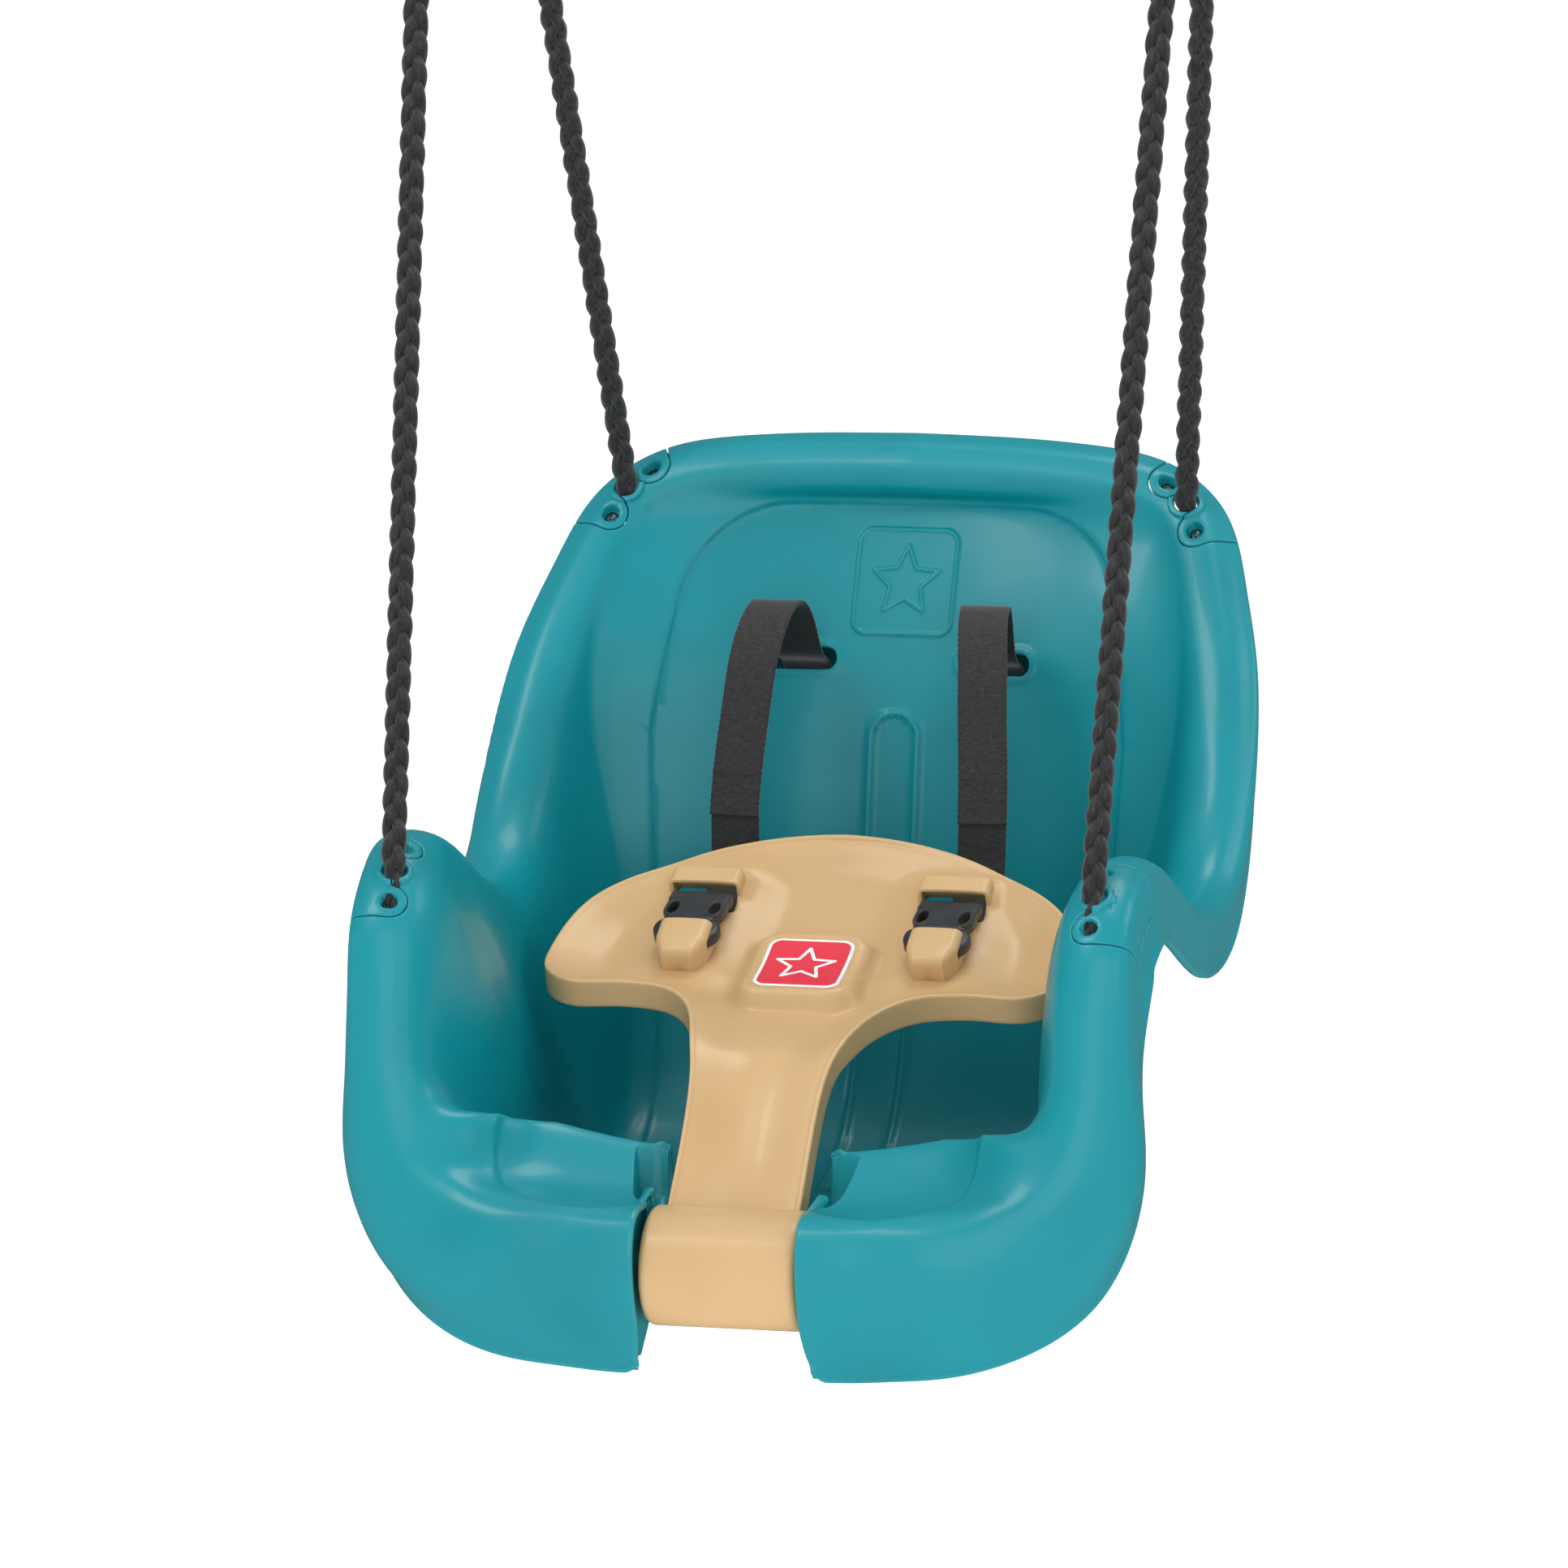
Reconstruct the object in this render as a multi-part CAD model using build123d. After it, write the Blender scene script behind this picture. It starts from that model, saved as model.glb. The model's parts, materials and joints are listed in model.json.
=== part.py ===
from build123d import *
import math
import os

# Toddler bucket swing: a moulded seat on four ropes, with a hinged T-shaped restraint bar.
# Millimetres.  +X is the child's left as seen from behind the bar, the front faces -Y, +Z is up.
# Everything is laid out about the hinge axis of the bar, then shifted to the row's origin,
# the centre of the bottom face of the whole swing's bounding box.

HINGE_Y = -193.3            # the bar's hinge axis in the row's frame
HINGE_Z = 54.0

WALL = 3.6                  # moulded wall of the seat
RIM_HALF = 20.0             # half width of the rim band
PIN_R = 6.0
BORE_CLEAR = 0.06
KNUCKLE_X = 41.0            # inner faces of the two seat knuckles
BARREL_R = 29.5
BARREL_HALF = 39.5

ROPE_R = 5.8
HANG = Vector(197, 193, 962)          # centre of the ring's lower bar, right side
RING_R, RING_BAR_R = 26.0, 5.0
BIGHT_R = 12.0                        # bend radius of the rope over the ring
LEG = 34.0                            # straight rope legs under the bight

FRONT_HOLE = Vector(175.6, 21.5, 189)
FRONT_SCREWS = (Vector(174.2, 6.3, 177), Vector(175.2, 41, 198))
REAR_HOLE = Vector(148.5, 367.0, 338)
REAR_SCREWS = (Vector(154.5, 352.5, 329), Vector(137.5, 374.0, 348))
SCREW_HEAD_R, SCREW_SHANK_R = 3.5, 2.0
KNOT_R, ROPE_TAIL = 9.4, 27.0         # knot under each hole, rope length below the hole

BUCKLE_X = 64.5             # buckle centre line
BUCKLE_Y, BUCKLE_Z = 171.4, 132.5     # the socket's upper edge on the bar's face
BUCKLE_SLOPE = 28.0         # degrees, slope of the bar's face at the buckles
WEB_W, WEB_T = 25.4, 1.6    # strap webbing
SLOT_X, SLOT_Z = 51.3, 254.0
SLOT_W, SLOT_H = 38.0, 12.0
WEB_STEPS = 26

# Strap from the sewn end behind the bar, over its arch and through the slot to its tail: x, y, z.
STRAP_PATH = [
    (65, 264, 183), (64, 270, 210), (62, 277, 236), (60, 286, 262), (57, 300, 281), (54.5, 318, 287),
    (52.5, 333, 276), (51.5, 343, 261), (51.3, 353, 254), (51.3, 364, 249), (51.3, 372, 234),
    (51.3, 372, 212), (51.3, 366, 190), (51.3, 359, 168),
]

# Sewn loop from behind the bar's top edge, under it and up through the hood to the plug: y, z.
LOOP_PATH = [
    (264, 181), (265, 167), (261, 152), (250, 142), (234, 137), (218, 138), (206, 143), (199.4, 149.3),
]

# Rim stations from the knuckle round the arm, the horn, the saddle and the wing to the top centre:
# crown point, outward direction, skirt depth, skirt tuck, foot of the inner wall,
# inward reach, drop of the inner shoulder, skirt bulge.
RIM = [
    ((41, -14, 32), (0, -1, 0), 84, -25, (41, 72, 2), 54, -22, 0),
    ((60, -14, 32.5), (0.02, -1, 0), 84, -25, (56, 78, -2), 54, -24, 1),
    ((82, -14, 34), (0.05, -1, -0.02), 84, -24, (72, 86, -5), 56, -25, 1),
    ((112, -15, 37), (0.3, -1, -0.1), 82, -17, (92, 96, -7), 56, -22, 5),
    ((142, -15, 47), (0.65, -0.8, -0.45), 78, -1, (106, 106, -8), 40, -8, 13),
    ((163, -12, 66), (0.9, -0.4, -0.3), 68, -4, (114, 118, -9), 25, 3, 11),
    ((173, -9, 92), (1, -0.1, 0), 57, -4, (119, 132, -10), 18, 8, 5),
    ((176, -7, 125), (1, 0, 0), 52, 0, (122, 150, -11), 17, 8, 1),
    ((176, 0, 162), (1, 0, 0.05), 52, 2, (124, 168, -11), 17, 8, 0),
    ((175.5, 22, 189), (1, 0, 0.05), 52, 1, (125, 188, -12), 17, 8, 0),
    ((176.5, 58, 203), (1, 0, 0.05), 49, 1, (126, 206, -12), 17, 8, 0),
    ((178, 100, 196), (1, 0, 0), 44, 1, (126, 224, -11), 17, 8, 0),
    ((179, 145, 176), (1, 0, 0), 42, 0, (126, 242, -9), 17, 8, 0),
    ((180, 190, 161), (1, 0, 0), 39, -1, (126, 262, -4), 17, 8, 0),
    ((181, 228, 166), (1, 0, 0), 39, -2, (125, 282, 14), 17, 8, 0),
    ((182.5, 255, 188), (1, 0, 0), 41, -5, (124, 300, 48), 17, 8, 0),
    ((181, 283, 225), (1, 0, 0), 37, -6, (123, 318, 108), 17, 8, 0),
    ((175, 311, 265), (1, 0, 0.05), 35, -6, (122, 334, 168), 17, 8, 0),
    ((164, 338, 301), (1, 0.1, 0.15), 35, -4, (120, 348, 230), 17, 8, 0),
    ((150, 361, 330), (0.8, 0.3, 0.5), 36, -3, (115, 358, 276), 17, 8, 0),
    ((126, 372, 347), (0.35, 0.5, 0.75), 38, 0, (102, 369, 310), 17, 8, 0),
    ((92, 376, 353.5), (0.1, 0.57, 0.82), 38, 0, (78, 382, 330), 17, 8, 0),
    ((50, 378, 356), (0, 0.57, 0.82), 38, 0, (46, 388, 334), 17, 8, 0),
    ((0, 378, 357), (0, 0.57, 0.82), 38, 0, (0, 390, 335), 17, 8, 0),
]

# Pan and backrest from the front edge to the top: y, z, half width, rise of the sides.
PAN = [
    (46, 21, 66, 0), (72, 9, 92, 2), (110, 2, 116, 3), (160, -3, 127, 4), (210, -4, 132, 5),
    (255, 3, 134, 6), (290, 22, 135, 8), (312, 55, 134, 12), (324, 95, 133, 16),
    (331, 140, 132, 18), (338, 190, 131, 19), (347, 235, 130, 19), (362, 278, 126, 17),
    (378, 315, 113, 13), (388, 336, 92, 9),
]

# Centre line of the bar's face, from the stem's foot to the tray's top edge: y, z.
BAR_FACE = [(9, 28), (36, 60), (62, 91), (82, 103), (107, 110.5), (148, 121.5), (176, 134), (203, 150), (243, 177)]
BAR_SLOPE = 32.7            # degrees, slope of the plane in which the bar's outline is drawn
BAR_DEPTH = 14.0
BAR_WALL = 3.2
BAR_LIP = 1.8

# Half outline of the bar in that plane: half width, distance from the stem's foot.
BAR_OUTLINE = [
    (33.5, -7), (33.5, 58), (38.5, 90), (47, 120), (64, 143), (90, 149), (114, 147.5), (130, 159),
    (134.5, 180), (126, 218), (102, 243), (72, 260.5), (37, 273), (0, 277.5),
]


def spline_rows(rows, count):
    """Natural cubic spline through rows of points, resampled evenly to count rows."""
    size = len(rows)
    flat = [[value for point in row for value in point] for row in rows]
    width = len(flat[0])
    bend = [[0.0] * width for _ in range(size)]
    carry = [0.0] * size
    for i in range(1, size - 1):
        carry[i] = 1.0 / (4.0 - carry[i - 1])
        for j in range(width):
            load = 6.0 * (flat[i - 1][j] - 2.0 * flat[i][j] + flat[i + 1][j])
            bend[i][j] = (load - bend[i - 1][j]) * carry[i]
    for i in range(size - 2, 0, -1):
        for j in range(width):
            bend[i][j] -= carry[i] * bend[i + 1][j]
    result = []
    for k in range(count):
        place = k * (size - 1) / (count - 1)
        i = min(int(place), size - 2)
        f = place - i
        g = 1.0 - f
        line = []
        for j in range(width):
            value = g * flat[i][j] + f * flat[i + 1][j]
            value += ((g**3 - g) * bend[i][j] + (f**3 - f) * bend[i + 1][j]) / 6.0
            line.append(value)
        result.append([tuple(line[j:j + 3]) for j in range(0, width, 3)])
    return result


def turned(grid):
    return [list(row) for row in zip(*grid)]


def rim_section(index):
    """Section points of one rim station, from the skirt's free edge to the inner wall's foot."""
    crown, outward, depth, tuck, foot, reach, drop, bulge = RIM[index]
    crown, outward, foot = Vector(crown), Vector(outward), Vector(foot)
    if index == 0:
        along = Vector(1, 0, 0)
    elif index == len(RIM) - 1:
        along = Vector(-1, 0, 0)
    else:
        along = (Vector(RIM[index + 1][0]) - Vector(RIM[index - 1][0])).normalized()
    out = (outward - along * outward.dot(along)).normalized()
    up = out.cross(along)
    points = [
        crown + out * (RIM_HALF + tuck) - up * depth,
        crown + out * (RIM_HALF + bulge + tuck * 0.35) - up * (depth * 0.66),
        crown + out * (RIM_HALF + bulge * 0.6) - up * (depth * 0.34),
        crown + out * (RIM_HALF - 3) - up * 8,
        crown + out * (RIM_HALF - 11) - up * 1.6,
        crown,
        crown - out * (reach * 0.53) - up * (drop * 0.2),
        crown - out * reach - up * drop,
    ]
    shoulder = points[-1]
    reachline = foot - shoulder
    start = (up * -0.9 - out * 0.35).normalized() * reachline.length * 0.9
    for f in (0.25, 0.5, 0.75, 1.0):
        bend = start * (f**3 - 2 * f**2 + f) + reachline * (3 * f**2 - 2 * f**3)
        points.append(shoulder + bend + reachline * (0.5 * (f**3 - f**2)))
    return points


def grid_normals(grid):
    """Unit normals of a point grid by central differences."""
    rows, cols = len(grid), len(grid[0])
    normals = []
    for i in range(rows):
        line = []
        for j in range(cols):
            a = Vector(grid[min(i + 1, rows - 1)][j]) - Vector(grid[max(i - 1, 0)][j])
            b = Vector(grid[i][min(j + 1, cols - 1)]) - Vector(grid[i][max(j - 1, 0)])
            line.append(a.cross(b).normalized())
        normals.append(line)
    return normals


def wall_solid(rows, side, flat_end=False):
    """Moulded wall lofted through rows of surface points, set back to one side of them."""
    fine = spline_rows(rows, (len(rows) - 1) * 4 + 1)
    fine = turned(spline_rows(turned(fine), (len(rows[0]) - 1) * 4 + 1))
    normals = grid_normals(fine)
    if flat_end:
        normals[-1] = [Vector(0, n.Y, n.Z).normalized() for n in normals[-1]]
    wires, fronts, backs = [], [], []
    for row, line in zip(fine[::2], normals[::2]):
        front = [Vector(p) for p in row[::4]]
        back = [p + n * (side * WALL) for p, n in zip(front, line[::4])]
        steps = [k / (len(front) - 1) for k in range(len(front))]
        fronts.append(Edge.make_spline(front, parameters=steps))
        backs.append(Edge.make_spline(back, parameters=steps))
        ends = [Edge.make_line(front[-1], back[-1]), Edge.make_line(back[0], front[0])]
        wires.append(Wire([fronts[-1], backs[-1]] + ends))
    tube = Solid.make_loft(wires)
    caps = [Face.make_surface_from_curves(fronts[k], backs[k]) for k in (0, -1)]
    return Solid(Shell(list(tube.faces()) + caps))


def rim_half():
    stations = [[tuple(p) for p in rim_section(i)] for i in range(len(RIM))]
    return wall_solid(stations, -1, flat_end=True)


def pan_sheet():
    rows = []
    for i, (y, z, half, rise) in enumerate(PAN):
        after = PAN[min(i + 1, len(PAN) - 1)]
        before = PAN[max(i - 1, 0)]
        along = Vector(0, after[0] - before[0], after[1] - before[1]).normalized()
        inward = Vector(0, -along.Z, along.Y)
        steps = [k / 4 for k in range(-4, 5)]
        rows.append([tuple(Vector(u * half, y, z) + inward * (rise * u * u)) for u in steps])
    return wall_solid(rows, 1)


def cyl_between(start, end, radius):
    """Cylinder from one point to another."""
    start, end = Vector(start), Vector(end)
    axis = end - start
    plane = Plane(origin=start, z_dir=axis)
    return extrude(plane * Circle(radius), axis.length)


def x_cyl(radius, x0, x1, y=0.0, z=0.0):
    return cyl_between((x0, y, z), (x1, y, z), radius)


def mirrored(solid):
    return solid.mirror(Plane.YZ)


def crown_plane(hole, screws):
    """Plane on the rim at a rope hole: x along the rim, z out of the crown."""
    along = (screws[1] - screws[0]).normalized()
    outward = Vector(1, 0, 0)
    if hole.Z > 300:
        outward = Vector(0.75, 0.25, 0.6)
    outward = (outward - along * outward.dot(along)).normalized()
    return Plane(origin=hole, x_dir=along, z_dir=outward.cross(along))


def rope_axis(hole):
    """Direction of a rope, from its rim hole to its leg under the ring."""
    return (rope_top(hole) - hole).normalized()


def rope_top(hole):
    """Upper end of a rope, at the foot of its leg of the bight."""
    side = BIGHT_R if hole.Y > HANG.Y else -BIGHT_R
    return Vector(HANG.X, HANG.Y + side, HANG.Z - LEG - 1.8)


def clamp_region(hole, screws, grow):
    """Block of the rim that belongs to one clamp insert: outer half of the crown and two ears."""
    plane = crown_plane(hole, screws)
    side = 1 if plane.y_dir.dot(Vector(1, 0, 0)) > 0 else -1
    box = Box(50 + 2 * grow, 32 + 2 * grow, 44 + 2 * grow, align=(Align.CENTER, Align.CENTER, Align.CENTER))
    region = plane * Pos(0, side * 15.5, -10) * box
    for screw in screws:
        ear = plane * Pos(plane.to_local_coords(screw).X, 0, -4)
        region += ear * Cylinder(9.5 + grow, 30 + 2 * grow)
    return region


def screw_axis(hole, screws):
    """Direction of a clamp's screws, midway between the crown's normal and the rope."""
    return (crown_plane(hole, screws).z_dir + rope_axis(hole)).normalized()


def clamp_bosses(hole, screws):
    axis = screw_axis(hole, screws)
    bosses = None
    for screw in screws:
        boss = cyl_between(screw - axis * 3, screw - axis * 14, 7.0)
        bosses = boss if bosses is None else bosses + boss
    return bosses


def rope_hole_cut(hole, radius):
    axis = rope_axis(hole)
    return cyl_between(hole - axis * 34, hole + axis * 22, radius)


def screw_cuts(hole, screws):
    axis = screw_axis(hole, screws)
    cuts = None
    for screw in screws:
        recess = cyl_between(screw - axis * 7, screw + axis * 8, 4.9)
        shank = cyl_between(screw - axis * 20, screw, 2.05)
        both = recess + shank
        cuts = both if cuts is None else cuts + both
    return cuts


def clamp(shell, hole, screws):
    """Rope clamp insert: its piece of the rim, a collar round the rope and two screw bosses."""
    piece = shell & clamp_region(hole, screws, 0)
    piece = max(piece.solids(), key=lambda solid: solid.volume)
    axis = rope_axis(hole)
    collar = cyl_between(hole - axis * 12, hole + axis * 2.2, 9.3)
    piece = piece + collar + clamp_bosses(hole, screws)
    piece = piece - rope_hole_cut(hole, ROPE_R + 0.5) - screw_cuts(hole, screws)
    piece = piece - Pos(knot_centre(hole)) * Sphere(KNOT_R + 0.3)
    return max(piece.solids(), key=lambda solid: solid.volume)


def clamp_screw(screw, axis):
    head = cyl_between(screw - axis * 7, screw - axis * 4.4, SCREW_HEAD_R)
    shank = cyl_between(screw - axis * 11.5, screw - axis * 7, SCREW_SHANK_R)
    drive = cyl_between(screw - axis * 5.6, screw - axis * 4, 1.4)
    return head + shank - drive


def knuckle_wall():
    """End wall of one knuckle with the boss for the hinge pin."""
    edge = [Vector(KNUCKLE_X, p.Y, p.Z) for p in rim_section(0)[:8]]
    points = [Vector(KNUCKLE_X, p.Y * 0.95, p.Z * 0.95) for p in edge]
    outline = Polyline(*points, Vector(KNUCKLE_X, 22, 12), Vector(KNUCKLE_X, 15, -14),
                       Vector(KNUCKLE_X, 2, -30), Vector(KNUCKLE_X, -6, -44), close=True)
    wall = extrude(make_face(outline), 4.0, dir=(1, 0, 0))
    boss = x_cyl(13.0, KNUCKLE_X, KNUCKLE_X + 18)
    return wall + boss


def stem_pocket(side):
    """Opening between a knuckle and the lip's crest, beside the bar's stem."""
    return Pos(side * 48, 22, 40) * Box(18, 27, 50)


def strap_slot(side):
    centre = Vector(side * SLOT_X, 352, SLOT_Z)
    bar = Box(SLOT_W - SLOT_H, 60, SLOT_H)
    slot = bar + Pos((SLOT_W - SLOT_H) / 2, 0, 0) * Rot(90, 0, 0) * Cylinder(SLOT_H / 2, 60)
    slot += Pos(-(SLOT_W - SLOT_H) / 2, 0, 0) * Rot(90, 0, 0) * Cylinder(SLOT_H / 2, 60)
    return Pos(centre) * Rot(-12, 0, 0) * slot


def bare_shell():
    right = rim_half()
    return right + mirrored(right) + pan_sheet()


def seat_shell(shell):
    """Moulded seat: rim, pan, backrest and hinge knuckles."""
    wall = knuckle_wall()
    seat = shell + wall + mirrored(wall)
    bore = x_cyl(PIN_R + BORE_CLEAR, KNUCKLE_X - 2, KNUCKLE_X + 20)
    seat = seat - bore - mirrored(bore) - strap_slot(1) - strap_slot(-1)
    seat = seat - stem_pocket(1) - stem_pocket(-1)
    for hole, screws in ((FRONT_HOLE, FRONT_SCREWS), (REAR_HOLE, REAR_SCREWS)):
        axis = screw_axis(hole, screws)
        cuts = [clamp_region(hole, screws, 0.3), clamp_collar_room(hole)]
        cuts += [cyl_between(screw - axis * 2, screw - axis * 18, 7.3) for screw in screws]
        for cut in cuts + [mirrored(cut) for cut in cuts]:
            seat = max((seat - cut).solids(), key=lambda solid: solid.volume)
    return seat


def clamp_collar_room(hole):
    axis = rope_axis(hole)
    return cyl_between(hole - axis * 13, hole + axis * 6, 9.7)


def rope(hole):
    axis = rope_axis(hole)
    return cyl_between(hole - axis * ROPE_TAIL, rope_top(hole), ROPE_R)


def knot_centre(hole):
    return hole - rope_axis(hole) * 36


def rope_knot(hole):
    room = cyl_between(hole - rope_axis(hole) * (ROPE_TAIL + 0.2), hole, ROPE_R + 0.2)
    return Pos(knot_centre(hole)) * Sphere(KNOT_R) - room


def rope_bight():
    """Rope bent over the ring's lower bar, with its two straight legs."""
    top = Plane(origin=(HANG.X, HANG.Y, HANG.Z), x_dir=(0, 1, 0), z_dir=(1, 0, 0))
    ring = top * Torus(BIGHT_R, ROPE_R)
    keep = Pos(HANG.X, HANG.Y, HANG.Z + 20) * Box(40, 60, 40)
    legs = None
    for side in (-BIGHT_R, BIGHT_R):
        foot = (HANG.X, HANG.Y + side, HANG.Z - LEG)
        leg = cyl_between(foot, (HANG.X, HANG.Y + side, HANG.Z), ROPE_R)
        legs = leg if legs is None else legs + leg
    return (ring & keep) + legs


def rope_seizing():
    """Two-hole clamp that closes the bight under the ring."""
    body = Pos(HANG.X, HANG.Y, HANG.Z - LEG + 10) * Box(18, 44, 15)
    body = fillet(body.edges(), 3)
    for side in (-BIGHT_R, BIGHT_R):
        hole = cyl_between((HANG.X, HANG.Y + side, HANG.Z - LEG - 2), (HANG.X, HANG.Y + side, HANG.Z), ROPE_R + 0.1)
        body = body - hole
    return body


def hanging_ring():
    plane = Plane(origin=(HANG.X, HANG.Y, HANG.Z + RING_R), x_dir=(1, 0, 0), z_dir=(0, 1, 0))
    return plane * Torus(RING_R, RING_BAR_R)


def hinge_pin():
    return x_cyl(PIN_R, -62, 62)


def pin_cap():
    cap = x_cyl(11.0, 61.0, 66.0)
    return cap - x_cyl(PIN_R + 0.05, 60.0, 62.5)


def offset_face_line(distance):
    """The bar's face line moved out along its normals, as a spline in the plane x = 0."""
    line = Spline(*[Vector(0, y, z) for y, z in BAR_FACE])
    points = []
    for k in range(15):
        place, along = line @ (k / 14), line % (k / 14)
        points.append(place + Vector(0, -along.Z, along.Y) * distance)
    return points


def face_band(low, high):
    """Slab that follows the bar's face between two offsets."""
    lower, upper = offset_face_line(low), offset_face_line(high)
    edges = [
        Spline(*lower), Line(lower[-1], upper[-1]),
        Spline(*upper), Line(upper[0], lower[0]),
    ]
    face = make_face(Wire(edges))
    return extrude(face, 150, dir=(1, 0, 0), both=True)


def outline_plane():
    foot = BAR_FACE[0]
    slope = math.radians(BAR_SLOPE)
    normal = Vector(0, -math.sin(slope), math.cos(slope))
    return Plane(origin=(0, foot[0], foot[1]), x_dir=(1, 0, 0), z_dir=normal)


def outline_prism(inset):
    """Prism of the bar's outline, moved in by inset, square to the outline plane."""
    points = [Vector(x, q) for x, q in BAR_OUTLINE]
    half = []
    for i, point in enumerate(points):
        along = (points[min(i + 1, len(points) - 1)] - points[max(i - 1, 0)]).normalized()
        half.append(point + Vector(-along.Y, along.X) * inset)
    half[-1] = Vector(0, points[-1].Y - inset)
    curve = Spline(*half, tangents=((0.02, 1), (-1, 0)))
    foot = Line((0, half[0].Y), half[0])
    back = Line((0, half[-1].Y), (0, half[0].Y))
    right = make_face(Wire([curve, foot, back]))
    face = (right + right.mirror(Plane.YZ)).face()
    return outline_plane() * extrude(face, 90, both=True)


def buckle_frame(side):
    """Plane on the bar's face at a buckle: x across, y up the face, z out of it."""
    slope = math.radians(BUCKLE_SLOPE)
    normal = Vector(0, -math.sin(slope), math.cos(slope))
    return Plane(origin=(side * BUCKLE_X, BUCKLE_Y, BUCKLE_Z), x_dir=(1, 0, 0), z_dir=normal)


def pad_plane():
    """Plane of the label pad in the middle of the tray."""
    return Plane(origin=(0, 152, 122.9), x_dir=(1, 0, 0), z_dir=(0, -0.350, 0.937))


def t_bar():
    """Restraint bar: a dished tray and stem with side walls, a hinge barrel and two hoods."""
    body = face_band(-BAR_DEPTH, BAR_LIP) & outline_prism(0)
    body = body - (face_band(0, BAR_LIP + 3) & outline_prism(BAR_WALL))
    body = body - (face_band(-BAR_DEPTH - 4, -BAR_WALL) & outline_prism(BAR_WALL))
    barrel = x_cyl(BARREL_R, -BARREL_HALF, BARREL_HALF)
    barrel = fillet(barrel.edges(), 4)
    barrel = barrel - x_cyl(BARREL_R - 5, -BARREL_HALF + 6, BARREL_HALF - 6)
    barrel = barrel + x_cyl(12, -BARREL_HALF + 3, BARREL_HALF - 3)
    body = body - x_cyl(BARREL_R - 2, -BARREL_HALF, BARREL_HALF)
    body = body + barrel - x_cyl(PIN_R + BORE_CLEAR, -60, 60)
    pad = pad_plane() * extrude(RectangleRounded(62, 60, 14), 3.2)
    body = body + pad + pad_plane() * Pos(0, 0, -3) * extrude(RectangleRounded(52, 46, 10), 4)
    for side in (1, -1):
        frame = buckle_frame(side)
        hood = Pos(0, 44, 4.5) * Box(40, 18, 13)
        hood = fillet(hood.edges().filter_by(Axis.Z), 5)
        body = body + frame * hood
        body = body - frame * Pos(0, 40, 3.25) * Box(33, 20, 10.5)
        body = body - frame * Pos(0, 38, -4) * Box(33, 24, 14)
    return max(body.solids(), key=lambda solid: solid.volume)


def t_bar_label():
    return pad_plane() * Pos(0, 0, 3.25) * extrude(RectangleRounded(44, 47, 7), 0.5)


def buckle_socket(side):
    """Hollow socket that takes the plug's tongue and arms, open at its upper edge."""
    body = Pos(0, -12, 8.1) * Box(28, 26, 13)
    body = fillet(body.edges().filter_by(Axis.Z), 5)
    body = body - Pos(0, -8, 7.4) * Box(22.5, 24, 7.6)
    return buckle_frame(side) * body


def buckle_plug(side):
    """Plug with its webbing bar at the top and a centre tongue."""
    bar = Pos(0, 26, 6.2) * Box(30, 10, 4)
    bar = bar - Pos(0, 26, 6.2) * Box(27, 3.4, 8)
    neck = Pos(0, 14.5, 7) * Box(20, 14, 6)
    tongue = Pos(0, -4, 7) * Box(6, 24, 5)
    return buckle_frame(side) * (bar + neck + tongue)


def buckle_arm(side, hand):
    """Spring arm beside the tongue, pinched inwards to let the plug out."""
    arm = Polyline((hand * 6.0, 7.0), (hand * 10.5, 7.0), (hand * 13.8, 4.5), (hand * 13.8, 3.2),
                   (hand * 10.6, 1.4), (hand * 10.6, -14.0), (hand * 7.6, -14.0), (hand * 7.6, 3.0),
                   close=True)
    body = extrude(make_face(arm), 5)
    return buckle_frame(side) * Pos(0, 0, 4.5) * body


def ribbon(points):
    """Webbing lofted along a path of centre points, its width along x."""
    path = Spline(*[Vector(point) for point in points])
    sections = []
    for k in range(WEB_STEPS + 1):
        place, along = path @ (k / WEB_STEPS), path % (k / WEB_STEPS)
        side = Vector(0, -along.Z, along.Y).normalized() * (WEB_T / 2)
        across = Vector(WEB_W / 2, 0, 0)
        corners = [place - across - side, place + across - side, place + across + side, place - across + side]
        sections.append(Wire.make_polygon(corners, close=True))
    return Solid.make_loft(sections)


def strap(side):
    return ribbon([(side * x, y, z) for x, y, z in STRAP_PATH])


def strap_loop(side):
    return ribbon([(side * BUCKLE_X, y, z) for y, z in LOOP_PATH])


def strap_adjuster(side):
    """Three-bar slide on the strap behind the backrest."""
    plane = Plane(origin=(side * SLOT_X, 372, 222), x_dir=(1, 0, 0), z_dir=(0, 1, 0))
    frame = extrude(RectangleRounded(36, 26, 4), 2.5, both=True)
    for y in (-6.2, 6.2):
        frame = frame - Pos(0, y, 0) * Box(28, 7.5, 12)
    return plane * Pos(0, 0, 5) * frame


def both_sides(name, solid):
    """A right-hand solid and its mirror image as two named nodes."""
    return {name + "_right": solid, name + "_left": mirrored(solid)}


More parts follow.
